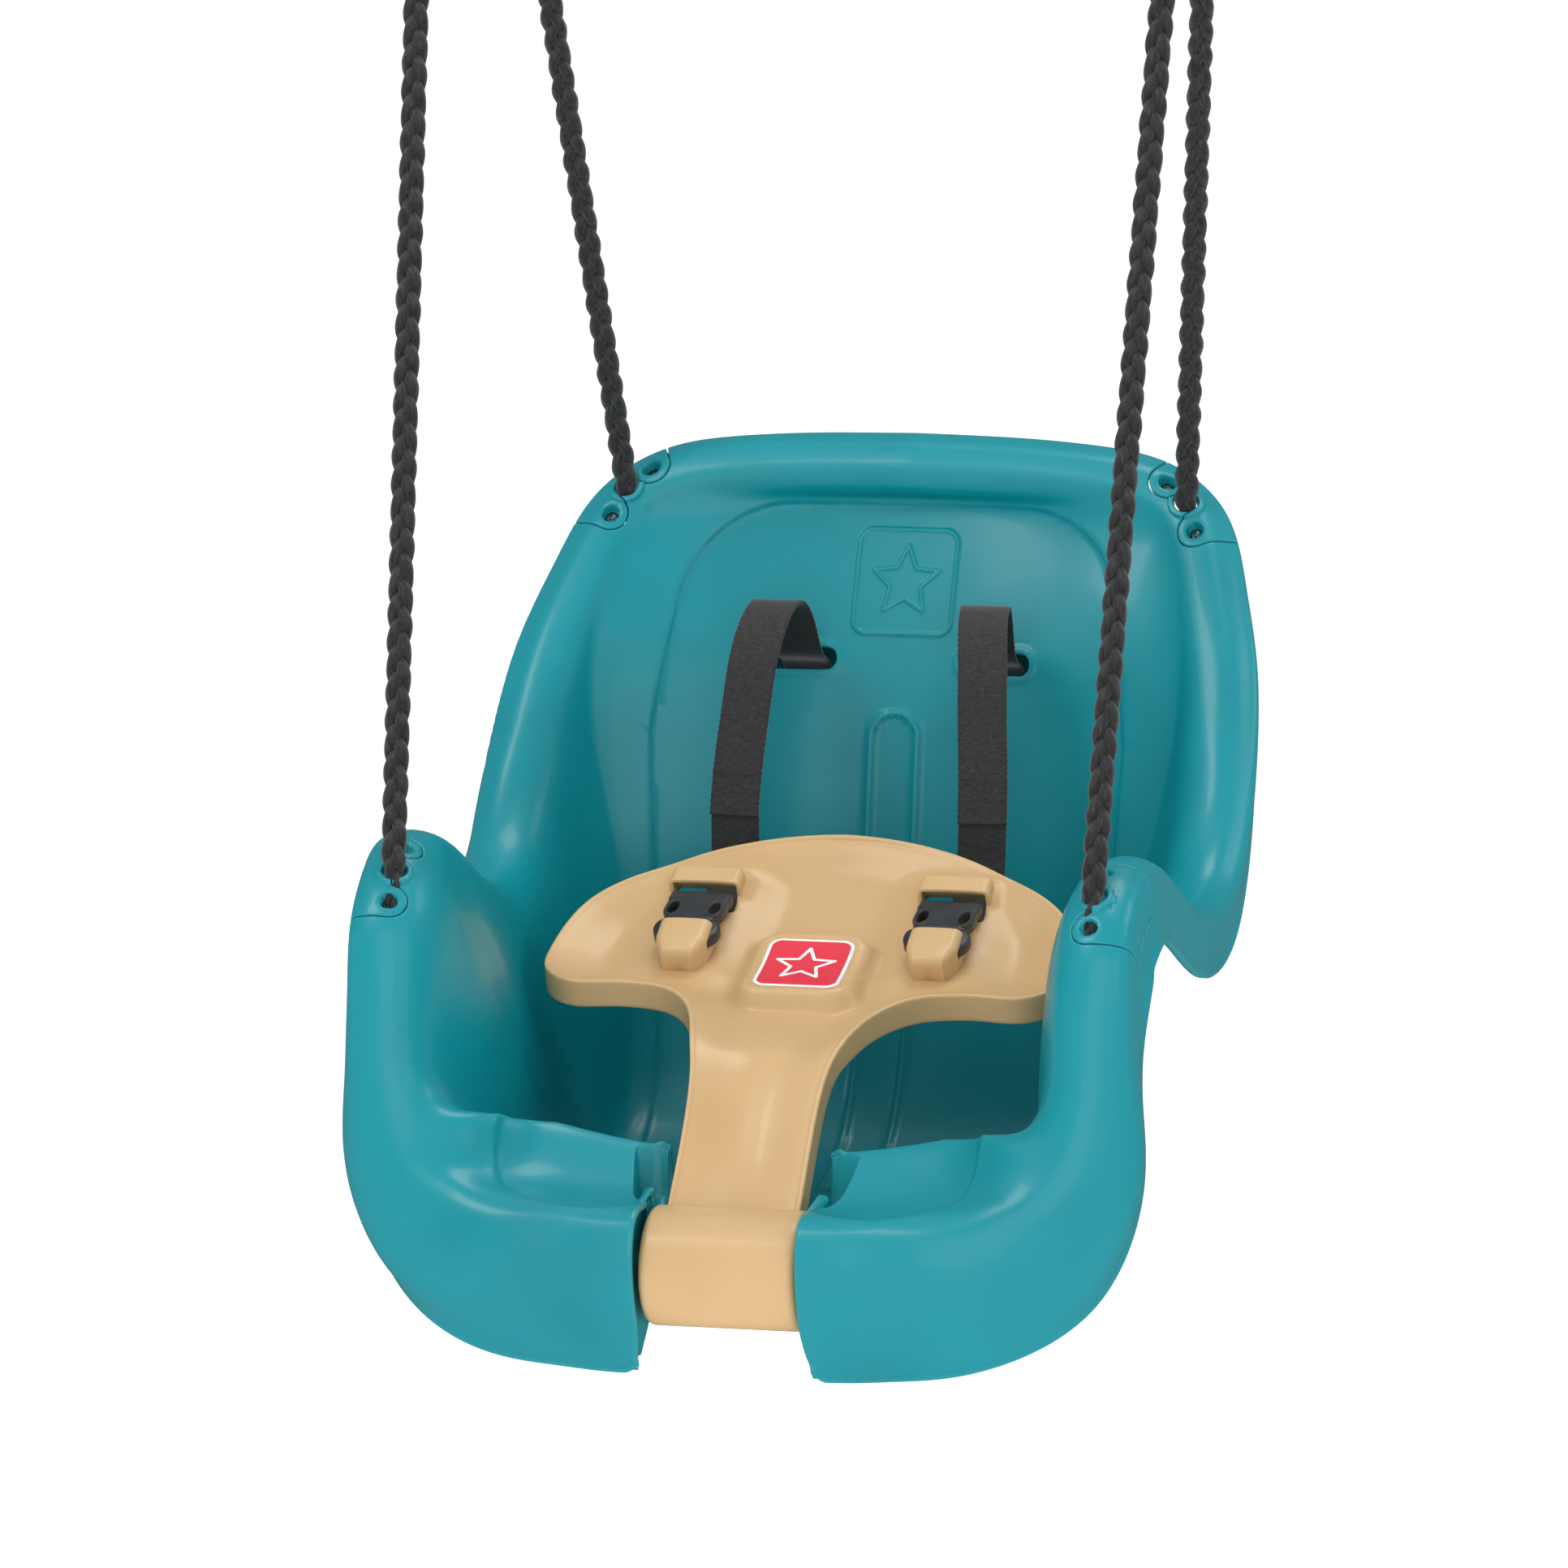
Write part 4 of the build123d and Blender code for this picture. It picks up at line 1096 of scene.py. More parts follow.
def bar_height(x, q, inset):
    """Height of the bar's surface over its face line: rim, dish, pad and pockets."""
    dish = 6.0 * smooth_step(q, -20, 30) + 1.5 * smooth_step(q, 150, 230)
    height = BAR_LIP - (BAR_LIP + dish) * smooth_step(inset, 1.8, 30) ** 0.75
    height -= 0.8 * smooth_step(inset, 1.8, 3.2)
    pad = round_box(x, q - PAD_Q, 28, 29, 11)
    height = height + (3.3 - height) * (1 - smooth_step(pad, -1.5, 7.5))
    label = round_box(x, q - PAD_Q, 22.8, 24.4, 6)
    height -= 0.8 * (1 - smooth_step(label, -0.5, 0.5))
    seat_pad = round_box(x - BUCKLE[0], q - BUCKLE_Q - 12, 18, 38, 5)
    height = height + (-1.0 - height) * (1 - smooth_step(seat_pad, -4, 24))
    hood = round_box(x - BUCKLE[0], q - BUCKLE_Q - 46.5, 18, 6.5, 3)
    return height + 2.6 * (1 - smooth_step(hood, -1, 7))


def bar_grid():
    """Fine grid of the bar's right half, from the skirt's free edge to the centre line."""
    count, skirt_count = (BAR_ROWS - 1) * FINE + 1, SKIRT_COLS * FINE
    run = np.concatenate([[0], np.cumsum(np.linalg.norm(np.diff(_OUTLINE, axis=0), axis=1))])
    travel = np.linspace(0, run[-1], count)
    line = even(_OUTLINE, count)
    spine = soften(np.interp(np.interp(travel, run, np.linspace(0, 13, 500)), np.arange(14), BAR_SPINE), 900)
    along = unit(np.gradient(line, axis=0))
    inward = np.stack([-along[:, 1], along[:, 0]], 1)
    reach = np.minimum(24, line[:, 0] * 0.5)[:, None]
    end = np.stack([np.zeros(count), spine], 1)
    f = np.linspace(0, 1, FACE_COLS * FINE + 1)[None, :, None]
    f = 0.75 * f + 0.25 * f * f
    second = line + inward * reach
    third = np.stack([line[:, 0] * 0.4, spine], 1)
    g = 1 - f
    path = g**3 * line[:, None] + 3 * g * g * f * second[:, None]
    path = path + 3 * g * f * f * third[:, None] + f**3 * end[:, None]
    x, q = path[..., 0], path[..., 1]
    half = np.concatenate([[(33.5, -60)], even(_OUTLINE, 200)])
    outline = np.concatenate([half, half[::-1] * [-1, 1]])
    inset = -outline_distance(x, q, outline)
    inset[:, 0] = 0
    inset = np.maximum(inset, 0)
    points, normals = face_point(x, q)
    face = points + normals * bar_height(x, q, inset)[..., None]
    depth = np.linspace(BAR_DEPTH, 0, skirt_count + 1)[None, :-1, None]
    skirt = face[:, :1] - normals[:, :1] * depth
    grid = np.concatenate([skirt, face], axis=1)
    spread = np.abs(np.arange(grid.shape[1]) - skirt_count)
    mask = (1 - smooth_step(spread, 3, 9))[None, :, None]
    for _ in range(14):
        grid[:, 1:-1] += 0.25 * (grid[:, :-2] + grid[:, 2:] - 2 * grid[:, 1:-1]) * mask[:, 1:-1]
    grid[:, -1, 0] = 0
    grid[-1, :, 0] = 0
    x = np.concatenate([np.repeat(x[:, :1], skirt_count, 1), x], axis=1)
    q = np.concatenate([np.repeat(q[:, :1], skirt_count, 1), q], axis=1)
    return grid, x, q


BAR, BAR_X, BAR_Q = bar_grid()
BAR_N = grid_normals(BAR)
if BAR_N[60, -10] @ [0, -1, 1] < 0:
    BAR_N = -BAR_N
BAR_N[-1, :, 0] = 0
BAR_N[:, -1, 0] = 0


def bar_window(at):
    """Distance to the opening behind a buckle, where the strap comes through."""
    x, q = seat_at(at, BAR_X), seat_at(at, BAR_Q)
    return round_box(x - BUCKLE[0], q - BUCKLE_Q - 36, 17, 10, 2.5)


def placed(data, side):
    """Mesh made in a buckle's frame (across, up the face, out of it), put in place on a side."""
    verts, faces = data
    up = np.array([0, math.cos(BUCKLE_SLOPE), math.sin(BUCKLE_SLOPE)])
    out = np.array([0, -math.sin(BUCKLE_SLOPE), math.cos(BUCKLE_SLOPE)])
    verts = BUCKLE + verts @ np.array([[1, 0, 0], up, out])
    return (verts, faces) if side > 0 else mirror_mesh(verts, faces)


def arch_shell(half, high, length, foot, radius, wall, windows=(), steps=26, back=0.0):
    """Hollow box open underneath and at y = 0, its far end closed."""
    corner = np.linspace(0, math.pi / 2, 9)
    left = [(-half - foot * 0.25, -foot), (-half, 0), (-half, (high - radius) / 2)]
    arc = [(-half + radius - radius * math.cos(a), high - radius + radius * math.sin(a)) for a in corner]
    profile = np.array(left + arc + [(-half / 3, high + 0.25)])
    profile = np.concatenate([profile, profile[::-1] * [-1, 1]])
    profile = even(profile, 61)
    run = length - radius
    rows = [(run * k / (steps - 1), 0.0) for k in range(steps)]
    rows += [(run + radius * math.sin(a), radius * (1 - math.cos(a))) for a in corner[1:]]
    rows += [(length, high - height) for height in (4.2, 2.2, 0.3, -foot * 0.35, -foot)]
    verts = []
    for y, drop in rows:
        ring = profile.copy()
        squeeze = 1 - 0.5 * radius / half * smooth_step(y, run, length)
        ring[:, 0] *= squeeze
        ring[:, 1] = np.minimum(ring[:, 1], np.maximum(high + 0.25 - drop, -foot))
        verts.append(np.stack([ring[:, 0], np.full(len(ring), y * (-1 if back else 1)), ring[:, 1]], 1))
    grid = np.array(verts)
    normals = grid_normals(grid)
    if normals[4, 30] @ [0, 0, 1] < 0:
        normals = -normals
    sheet = Sheet(grid.shape[0], grid.shape[1])
    for window in windows:
        field = lambda at, w=window: flank_window(sample_grid(grid, *at.T), w)
        sheet.cut(field, 0.0)
        flank = np.abs(sample_grid(grid, *sheet.centres().T)[:, 0]) > half * 0.8
        sheet.keep(~((field(sheet.centres()) < 0) & flank))
    points = sample_grid(grid, sheet.at[:, 0], sheet.at[:, 1])
    out = unit(sample_grid(normals, sheet.at[:, 0], sheet.at[:, 1]))
    return thicken(points, out, oriented(points, out, sheet.faces), wall)


def flank_window(places, window):
    """Distance to a rounded window seen from the side; window is (y, z, half sizes, radius)."""
    y, z, half_y, half_z, radius = window
    return round_box(places[:, 1] - y, places[:, 2] - z, half_y, half_z, radius)


def hood_mesh():
    """Small roof on the bar over the plug's upper end."""
    verts, faces = arch_shell(18.6, 9.8, 14.0, 4.5, 3.6, 2.2)
    return verts + [0, 38.0, 0], faces


def barrel_mesh():
    """Hinge barrel at the bar's foot, bored for the pin, with rounded ends."""
    profile = [(PIN_BORE_R, -BARREL_HALF), (BARREL_R - BARREL_ROUND, -BARREL_HALF)]
    round_end = [(BARREL_R - BARREL_ROUND * (1 - math.sin(a)), BARREL_HALF - BARREL_ROUND * (1 - math.cos(a)))
                 for a in np.linspace(math.pi / 2, 0, 9)]
    profile += [(radius, -x) for radius, x in round_end[-2::-1]]
    profile += [(BARREL_R, x) for x in np.linspace(-30, 30, 17)]
    profile += round_end + [(PIN_BORE_R, BARREL_HALF)]
    return ring_solid(profile, 96)


def ring_solid(profile, around):
    """Body of revolution about the x axis with a hole through it; profile is (radius, x)."""
    angles = np.linspace(0, 2 * math.pi, around, endpoint=False)
    rows = [np.stack([np.full(around, x), np.cos(angles) * r, np.sin(angles) * r], 1) for r, x in profile]
    faces = grid_faces(len(profile), around, wrap=True)
    last = (len(profile) - 1) * around
    for j in range(around):
        k = (j + 1) % around
        faces.append((last + j, last + k, k, j))
    return np.concatenate(rows), faces


def build_bar():
    """Restraint bar with its barrel and the two hoods."""
    sheet = Sheet(BAR_ROWS, SKIRT_COLS + FACE_COLS + 1)
    sheet.refine(np.abs(bar_window(sheet.centres())) < 3)
    sheet.cut(bar_window, 0.0)
    sheet.keep(bar_window(sheet.centres()) > 0)
    normals = unit(seat_at(sheet.at, BAR_N))
    points = seat_at(sheet.at, BAR)
    faces = oriented(points, normals, sheet.faces)
    points[np.abs(points[:, 0]) < 1e-6, 0] = 0
    whole = mirrored_half(points, normals, faces)
    parts = [thicken(*whole, BAR_WALL), barrel_mesh()]
    parts += [placed(hood_mesh(), side) for side in (1, -1)]
    piece("t_bar", join(parts), "t_bar", TAN, ["t_bar"])


# ---------------------------------------------------------------- label, buckles, hinge pin

def flat_sheet(field, half_x, low, high, step, holes=()):
    """Flat plate in the buckle frame: the region where field is negative, less its holes."""
    cols, rows = int(2 * half_x / step) + 2, int((high - low) / step) + 2
    sheet = Sheet(rows, cols)
    xy = lambda at: (-half_x + at[:, 1] * step, low + at[:, 0] * step)
    outside = lambda at: field(*xy(at))
    sheet.cut(outside)
    sheet.keep(outside(sheet.centres()) < 0)
    for hole in holes:
        inner = lambda at, h=hole: h(*xy(at))
        sheet.cut(inner)
        sheet.keep(inner(sheet.centres()) > 0)
    x, y = xy(sheet.at)
    return sheet, x, y


def plate(field, half_x, low, high, step, top, wall, crown=0.0, holes=()):
    """Plate with rounded edges; its top lies at the given height and swells by crown."""
    sheet, x, y = flat_sheet(field, half_x, low, high, step, holes)
    inset = np.clip(-field(x, y), 0, 3) / 3
    points = np.stack([x, y, top - crown * (1 - inset) ** 2], 1)
    normals = np.tile([0, 0, 1.0], (len(points), 1))
    return thicken(points, normals, oriented(points, normals, sheet.faces), wall)


PLUG_SIDE = [(13, 33.5), (15.5, 31.5), (15.7, 27), (15.2, 23.5), (15.3, 18), (15.2, 13), (14, 9.5),
             (12.6, 6.5), (11, 3)]
PLUG_OUTLINE = closed_curve([(0, 33.5), *PLUG_SIDE, (0, 2), *[(-x, y) for x, y in PLUG_SIDE[::-1]]], 200)
ARM_OUTLINE = closed_curve([(10.4, 6.6), (12.3, 5.4), (15.2, 3.2), (16.6, -1), (15.9, -6), (13.2, -9.5),
                            (10.8, -11), (10.4, -14), (8.2, -14), (7.8, -6), (7.9, 2), (8.4, 6.2)], 120)


def ellipse(cx, cy, rx, ry):
    """Distance field of an ellipse, negative inside."""
    return lambda x, y: (np.hypot((x - cx) / rx, (y - cy) / ry) - 1) * min(rx, ry)


def plug_mesh():
    """Buckle plug: waisted plate with two rimmed windows, a spine and its middle tongue."""
    body = lambda x, y: outline_distance(x, y, PLUG_OUTLINE)
    holes = [ellipse(10.7, 15, 3.0, 7.6), ellipse(-10.7, 15, 3.0, 7.6)]
    main = plate(body, 17, 1, 35, 0.7, 11.2, 5.6, 0.9, holes)
    rings = []
    for side in (1, -1):
        ring = lambda x, y, s=side: np.abs(ellipse(10.7 * s, 15, 3.5, 8.1)(x, y)) - 0.5
        rings.append(plate(ring, 17, 5, 27, 0.5, 11.8, 6.4, 0.4))
    spine = plate(lambda x, y: round_box(x, y - 15, 0.5, 9, 0.4), 2, 5, 25, 0.35, 11.45, 2.0, 0.25)
    verts, faces = join([main, spine] + rings)
    verts[:, 2] -= 0.17 * np.maximum(verts[:, 1] - 6, 0)
    tongue = lambda x, y: round_box(x, y + 4, 3.0, 12, 1.5)
    return join([(verts, faces), plate(tongue, 4, -18, 9, 0.8, 9.5, 5.0)])


def arm_mesh():
    """Outer spring arm of the plug, with its finger bulge."""
    body = lambda x, y: outline_distance(x, y, ARM_OUTLINE)
    return plate(body, 18, -16, 9, 0.7, 10.6, 5.6, 0.9)


def socket_mesh():
    """Hollow cover over the plug's lower half, open at its upper end and at both flanks."""
    windows = [(-6.5, 6.6, 7.0, 3.4, 1.6)]
    verts, faces = arch_shell(13.4, 14.2, 25.5, 0.6, 4.4, 2.2, windows, back=1.0)
    y = verts[:, 1]
    low = 1 - smooth_step(verts[:, 2], 0, 6)
    scallop = 1.5 * np.exp(-(verts[:, 0] / 4.5) ** 2) * smooth_step(-y, 18, 25) * low
    taper = -verts[:, 0] * 0.3 * smooth_step(-y, 9, 27) ** 1.3
    verts = verts + np.stack([taper, scallop, -1.2 * smooth_step(-y, 12, 24)], 1)
    return verts, faces


def screw_mesh(place, normal):
    """Cross-head screw: domed head with a cruciform recess, and its shank."""
    profile = [(0.05, -6), (1.9, -6), (2.0, -5.6), (2.0, 0), (3.9, 0.1), (4.1, 0.6), (3.9, 1.5), (3.1, 2.3),
               (1.6, 2.75), (0.05, 2.85)]
    verts, faces = lathe(profile, (0, 0, 0), (0, 0, 1), 48)
    cross = np.minimum(np.maximum(np.abs(verts[:, 0]) - 0.5, np.abs(verts[:, 1]) - 2.3),
                       np.maximum(np.abs(verts[:, 1]) - 0.5, np.abs(verts[:, 0]) - 2.3))
    verts[:, 2] -= 1.3 * (1 - smooth_step(cross, -0.25, 0.15)) * (verts[:, 2] > 1.4)
    helper = unit(np.cross(normal, [1, 0.3, 0]))
    axes = np.array([helper, np.cross(normal, helper), normal])
    return place + verts @ axes, faces


def seat_screws():
    """The eight clamp screws, in the floors of their recesses."""
    parts = []
    for clamp in CLAMPS.values():
        for along, outward in clamp.screw_places:
            i = int(np.interp(along, CROWN_RUN, np.arange(len(CROWN_RUN))))
            j = int(np.abs(CROWN_OUT[i] - outward).argmin())
            normal = unit(SEAT_N[i, j])
            one = screw_mesh(SEAT[i, j] - normal * 7.6, normal)
            parts += [one, mirror_mesh(*one)]
    piece("clamp_screws", join(parts), "seat", DARK_STEEL, ["clamp_screws"])


def build_buckles():
    """Sockets, plugs and spring arms on both sides."""
    for name, side in (("right", 1), ("left", -1)):
        piece(f"buckle_socket_{name}", placed(socket_mesh(), side), "t_bar", TAN,
              [f"buckle_socket_{name}"])
        piece(f"buckle_plug_{name}", placed(plug_mesh(), side), f"plug_{name}", BLACK,
              [f"buckle_plug_{name}"])
        arm = arm_mesh()
        other = mirror_mesh(*arm)
        for hand, data in (("outer", arm), ("inner", other)):
            piece(f"buckle_arm_{name}_{hand}", placed(data, side), f"arm_{name}_{hand}", BLACK,
                  [f"buckle_arm_{name}_{hand}"])


def pad_mesh(field, half_x, half_y, top, wall, step, crown=0.0):
    """Plate on the bar's pad."""
    verts, faces = plate(field, half_x, -half_y, half_y, step, top, wall, crown)
    places, normals = face_point(verts[:, 0], PAD_Q + verts[:, 1])
    return places + normals * verts[:, 2:], faces


def build_label():
    """Printed label: white edge, red field and a white star outline."""
    white = pad_mesh(lambda x, y: round_box(x, y, 22.0, 23.5, 6.5), 24, 25, 3.15, 0.6, 1.2)
    border = pad_mesh(lambda x, y: round_box(x, y, 20.3, 21.8, 5), 22, 23, 3.28, 0.3, 1.2)
    rays = star(5, 15.5, 6.8)
    emblem = pad_mesh(lambda x, y: np.abs(outline_distance(x, y, rays)) - 0.85, 20, 20, 3.4, 0.3, 0.5)
    parts = [white, border, emblem]
    whole = join(parts)
    index = [0] * len(white[1]) + [1] * len(border[1]) + [0] * len(emblem[1])
    piece("t_bar_label", whole, "t_bar", [WHITE, RED], ["t_bar_label"], face_materials=index)


def build_pin():
    """Hinge pin and the push caps on its ends."""
    half = [(6, 60.7), (5.2, 61.5), (0.05, 61.5)]
    rod = lathe([(radius, -x) for radius, x in half[::-1]] + half, (0, 0, 0), (1, 0, 0), 48)
    piece("hinge_pin", rod, "seat", STEEL, ["hinge_pin"])
    cap = lathe([(0.05, 61), (10, 61), (11, 61.8), (11, 64.2), (9.8, 65.6), (6, 66.2), (0.05, 66.4)],
                (0, 0, 0), (1, 0, 0), 48)
    caps = join([cap, mirror_mesh(*cap)])
    piece("hinge_pin_caps", caps, "seat", BLACK, ["hinge_pin_caps"])


# ---------------------------------------------------------------- straps

WEB_W, WEB_T = 25.4, 1.7
STRAP_PATH = [
    (65, 264, 183), (64, 270, 210), (62, 277, 236), (60, 286, 262), (57, 300, 281), (54.5, 318, 287),
    (52.5, 333, 276), (51.5, 343, 261), (51.3, 353, 254), (51.3, 364, 249), (51.3, 372, 234),
    (51.3, 372, 212), (51.3, 366, 190), (51.3, 359, 168),
]
LOOP_PATH = [
    (64.6, 268.6, 206), (64.8, 266.2, 184), (64.5, 265.4, 167), (64.5, 261, 152), (64.5, 250, 142),
    (64.5, 234, 137), (64.5, 218, 138), (64.5, 206, 143), (64.5, 198, 151.5),
]


def ribbon(path, lift=0.0, start=0.0, stop=1.0, width=WEB_W):
    """Woven webbing along a path, its width along x, with real ribs and rounded selvedges."""
    path = np.asarray(path, float)
    dense = cubic(path, np.linspace(0, len(path) - 1, 900))
    dense = even(dense, 900)[int(start * 899):int(stop * 899) + 1]
    length = np.linalg.norm(np.diff(dense, axis=0), axis=1).sum()
    count = max(int(length / 0.42), 8)
    line = even(dense, count)
    along = unit(np.gradient(line, axis=0))
    across = unit(np.array([1.0, 0, 0]) - along * along[:, :1])
    out = np.cross(across, along)
    line = line + out * lift
    cols = 27
    u = np.linspace(-1, 1, cols)
    run = np.arange(count) * length / count
    rib = np.cos(2 * math.pi * (run[:, None] / 1.55 + 0.5 * (np.arange(cols) % 2)[None]))
    edge = 1 - smooth_step(np.abs(u), 0.93, 1.0)[None]
    thick = WEB_T / 2 * (0.55 + 0.45 * edge) + 0.15 * rib * edge
    wobble = 0.15 * np.sin(run / 1.55 * math.pi)[:, None] * (np.abs(u) > 0.99)
    x = across[:, None] * (u[None] * width / 2 + wobble * np.sign(u))[..., None]
    top = line[:, None] + x + out[:, None] * thick[..., None]
    low = line[:, None] + x - out[:, None] * thick[..., None]
    ring = np.concatenate([top, low[:, ::-1]], axis=1)
    verts = ring.reshape(-1, 3)
    around = 2 * cols
    faces = grid_faces(count, around, wrap=True)
    last = (count - 1) * around
    faces.append(tuple(reversed(range(around))))
    faces.append(tuple(range(last, last + around)))
    return verts, faces


def stitch_rows(path, places, width, lift):
    """Rows of sewing thread across the webbing."""
    path = np.asarray(path, float)
    dense = even(cubic(path, np.linspace(0, len(path) - 1, 900)), 900)
    along = unit(np.gradient(dense, axis=0))
    parts = []
    for place in places:
        k = int(place * 899)
        out = np.cross([1.0, 0, 0], along[k])
        for n in range(8):
            x = (n - 3.5) * width / 8
            centre = dense[k] + out * lift
            bow = [centre + [x - 1.1, 0, 0], centre + [x, 0, 0] + out * 0.25, centre + [x + 1.1, 0, 0]]
            line = even(bow, 5)
            side, up = frame_along(line, out)
            parts.append(tube_mesh(line, side, up, 0.3, 0.3, 8))
    return parts


def build_straps():
    """Shoulder straps with their sewn ends, the loops on the plugs, and the adjusters."""
    fold = ribbon(STRAP_PATH, -WEB_T - 0.15, 0.0, 0.13, WEB_W - 0.4)
    threads = stitch_rows(STRAP_PATH, (0.115, 0.122), WEB_W - 3, -WEB_T * 1.5 - 0.3)
    strap = join([ribbon(STRAP_PATH), fold] + threads)
    loop = ribbon(LOOP_PATH, width=WEB_W - 0.4)
    rows = (("strap", strap, "seat", "webbing", WEB), ("strap_loop", loop, "plug", "webbing", WEB),
            ("strap_adjuster", slide_mesh(), "seat", "buckle", BLACK))
    for hand in ("right", "left"):
        for name, data, body, slot, finish in rows:
            node = f"{name}_{hand}"
            data = data if hand == "right" else mirror_mesh(*data)
            rider = body if body == "seat" else f"{body}_{hand}"
            piece(node, data, rider, finish, [node])


def slide_mesh():
    """Three-bar slide behind the backrest."""
    body = lambda x, y: round_box(x, y, 18, 13, 4)
    holes = [lambda x, y, off=off: round_box(x, y - off, 14, 3.6, 1.4) for off in (6.2, -6.2)]
    verts, faces = plate(body, 19, -14, 14, 0.9, 2.5, 4.6, 0.8, holes)
    x, y, z = verts.T
    return np.stack([SLOT_X + x, 377.5 + z, 222 - y], 1), faces


# ---------------------------------------------------------------- ropes

ROPE_TAIL = 26.0
BIGHT_R, LEG = 12.0, 34.0
RING_R, RING_BAR_R = 26.0, 5.0
PLAIT = 39.0                # length in which a strand crosses the rope and comes back
HANG = np.array([197.0, HANG_Y, HANG_Z])


def plait(path, reference, phase=0.0, width=3.35, depth=1.9, strand=3.45, pinch=0.0):
    """Three plaited strands along a path, squeezed over the first stretch by up to pinch."""
    length = np.linalg.norm(np.diff(path, axis=0), axis=1).sum()
    count = max(int(length / 1.15), 12)
    line = even(path, count)
    side, up = frame_along(line, np.asarray(reference, float))
    run = np.linspace(0, length, count)
    tight = 1 - pinch * (1 - smooth_step(run, ROPE_TAIL - 8, ROPE_TAIL + 4))
    parts = []
    for k in range(3):
        turn = 2 * math.pi * (run / PLAIT + k / 3) + phase
        wave = np.sin(turn)
        centre = line + side * (width * tight * np.sign(wave) * np.abs(wave) ** 0.85)[:, None]
        centre = centre + up * (depth * tight * np.sin(2 * turn))[:, None]
        a, b = frame_along(centre, up[0])
        thick = strand * tight * (1 + 0.06 * np.sin(turn * 3 + k))
        parts.append(tube_mesh(centre, a, b, thick, thick * 0.86, 14))
    return parts


def rope_path(hole):
    """Rope from its tail under the rim to the foot of its leg at the ring."""
    side = BIGHT_R if hole[1] > HANG[1] else -BIGHT_R
    top = HANG + [0, side, -LEG - 1.8]
    axis = unit(top - hole)
    return np.array([hole - axis * ROPE_TAIL, top])


def build_ropes():
    """Four ropes with their knots, and on both sides the bight, its seizing and the ring."""
    knots = []
    for name, hole in (("front", FRONT_HOLE), ("rear", REAR_HOLE)):
        path = rope_path(hole)
        axis = unit(path[1] - path[0])
        for hand, side in (("right", 1), ("left", -1)):
            phase = 0.7 * side + hole[1] * 0.01
            strands = join(plait(path * [side, 1, 1], (1.0, 0.25, 0), phase, pinch=0.36))
            piece(f"rope_{name}_{hand}", strands, "seat", ROPE, [f"rope_{name}_{hand}"])
            centre = (hole - axis * 36) * [side, 1, 1]
            knots.append(knot_mesh(centre, axis * [side, 1, 1]))
    piece("rope_knots", join(knots), "seat", ROPE, ["rope_knots"])
    for hand, side in (("right", 1), ("left", -1)):
        angles = np.linspace(0, math.pi, 40)
        arc = np.stack([np.zeros(40), -BIGHT_R * np.cos(angles), BIGHT_R * np.sin(angles)], 1)
        legs = [np.array([[0, y, -LEG]]) for y in (-BIGHT_R, BIGHT_R)]
        line = (HANG + np.concatenate([legs[0], arc, legs[1]])) * [side, 1, 1]
        strands = join(plait(line, (1.0, 0, 0), width=3.2, strand=3.2))
        piece(f"rope_bight_{hand}", strands, "seat", ROPE, [f"rope_bight_{hand}"])
        piece(f"rope_seizing_{hand}", seizing_mesh(side), "seat", BLACK, [f"rope_seizing_{hand}"])
        piece(f"hanging_ring_{hand}", ring_mesh(side), "hanger", STEEL, [f"hanging_ring_{hand}"])


def ring_mesh(side):
    """Round steel ring in the plane of both ropes' feet."""
    centre = (HANG + [0, 0, RING_R]) * [side, 1, 1]
    section = np.linspace(0, 2 * math.pi, 24, endpoint=False)
    rows = []
    for angle in np.linspace(0, 2 * math.pi, 97)[:-1]:
        out = np.array([math.cos(angle), 0, math.sin(angle)])
        ring = np.cos(section)[:, None] * out + np.sin(section)[:, None] * np.array([0, 1.0, 0])
        rows.append(centre + out * RING_R + ring * RING_BAR_R)
    faces = grid_faces(96, 24, wrap=True)
    for j in range(24):
        faces.append((95 * 24 + j, 95 * 24 + (j + 1) % 24, (j + 1) % 24, j))
    return np.concatenate(rows), faces


def knot_mesh(centre, axis):
    """Overhand knot: strands wrapped round the rope's end."""
    helper = unit(np.cross(axis, [0.2, 1, 0]))
    other = np.cross(axis, helper)
    t = np.linspace(0, 2 * math.pi, 150)
    trefoil = [np.sin(t) + 2 * np.sin(2 * t), np.cos(t) - 2 * np.cos(2 * t), -1.2 * np.sin(3 * t)]
    trefoil = np.stack(trefoil, 1)
    line = centre + (trefoil[:, :1] * helper + trefoil[:, 1:2] * other) * 1.95 + trefoil[:, 2:] * axis * 2.6
    side, up = frame_along(line, axis)
    wave = 3.2 * (1 + 0.05 * np.cos(t * 24))
    return tube_mesh(line, side, up, wave, wave, 14)


def seizing_mesh(side):
    """Crimped clamp that closes the bight: a waisted band round both legs."""
    around = np.linspace(0, 2 * math.pi, 72, endpoint=False)
    rows = []
    half = [(1.6, -0.9), (3, 0), (6.2, 0), (7.2, -0.5), (7.5, -1.6)]
    for z, grow in [(-z, grow) for z, grow in half[::-1]] + half:
        y = (18.5 + grow) * np.sign(np.cos(around)) * np.abs(np.cos(around)) ** 0.6
        x = (8.6 + grow) * np.sign(np.sin(around)) * np.abs(np.sin(around)) ** 0.75
        rows.append(np.stack([x, y, np.full(72, z)], 1))
    verts = (np.concatenate(rows) + HANG + [0, 0, -LEG + 10]) * [side, 1, 1]
    faces = grid_faces(len(rows), 72, wrap=True)
    last = (len(rows) - 1) * 72
    faces.append(tuple(reversed(range(72))))
    faces.append(tuple(range(last, last + 72)))
    return verts, faces


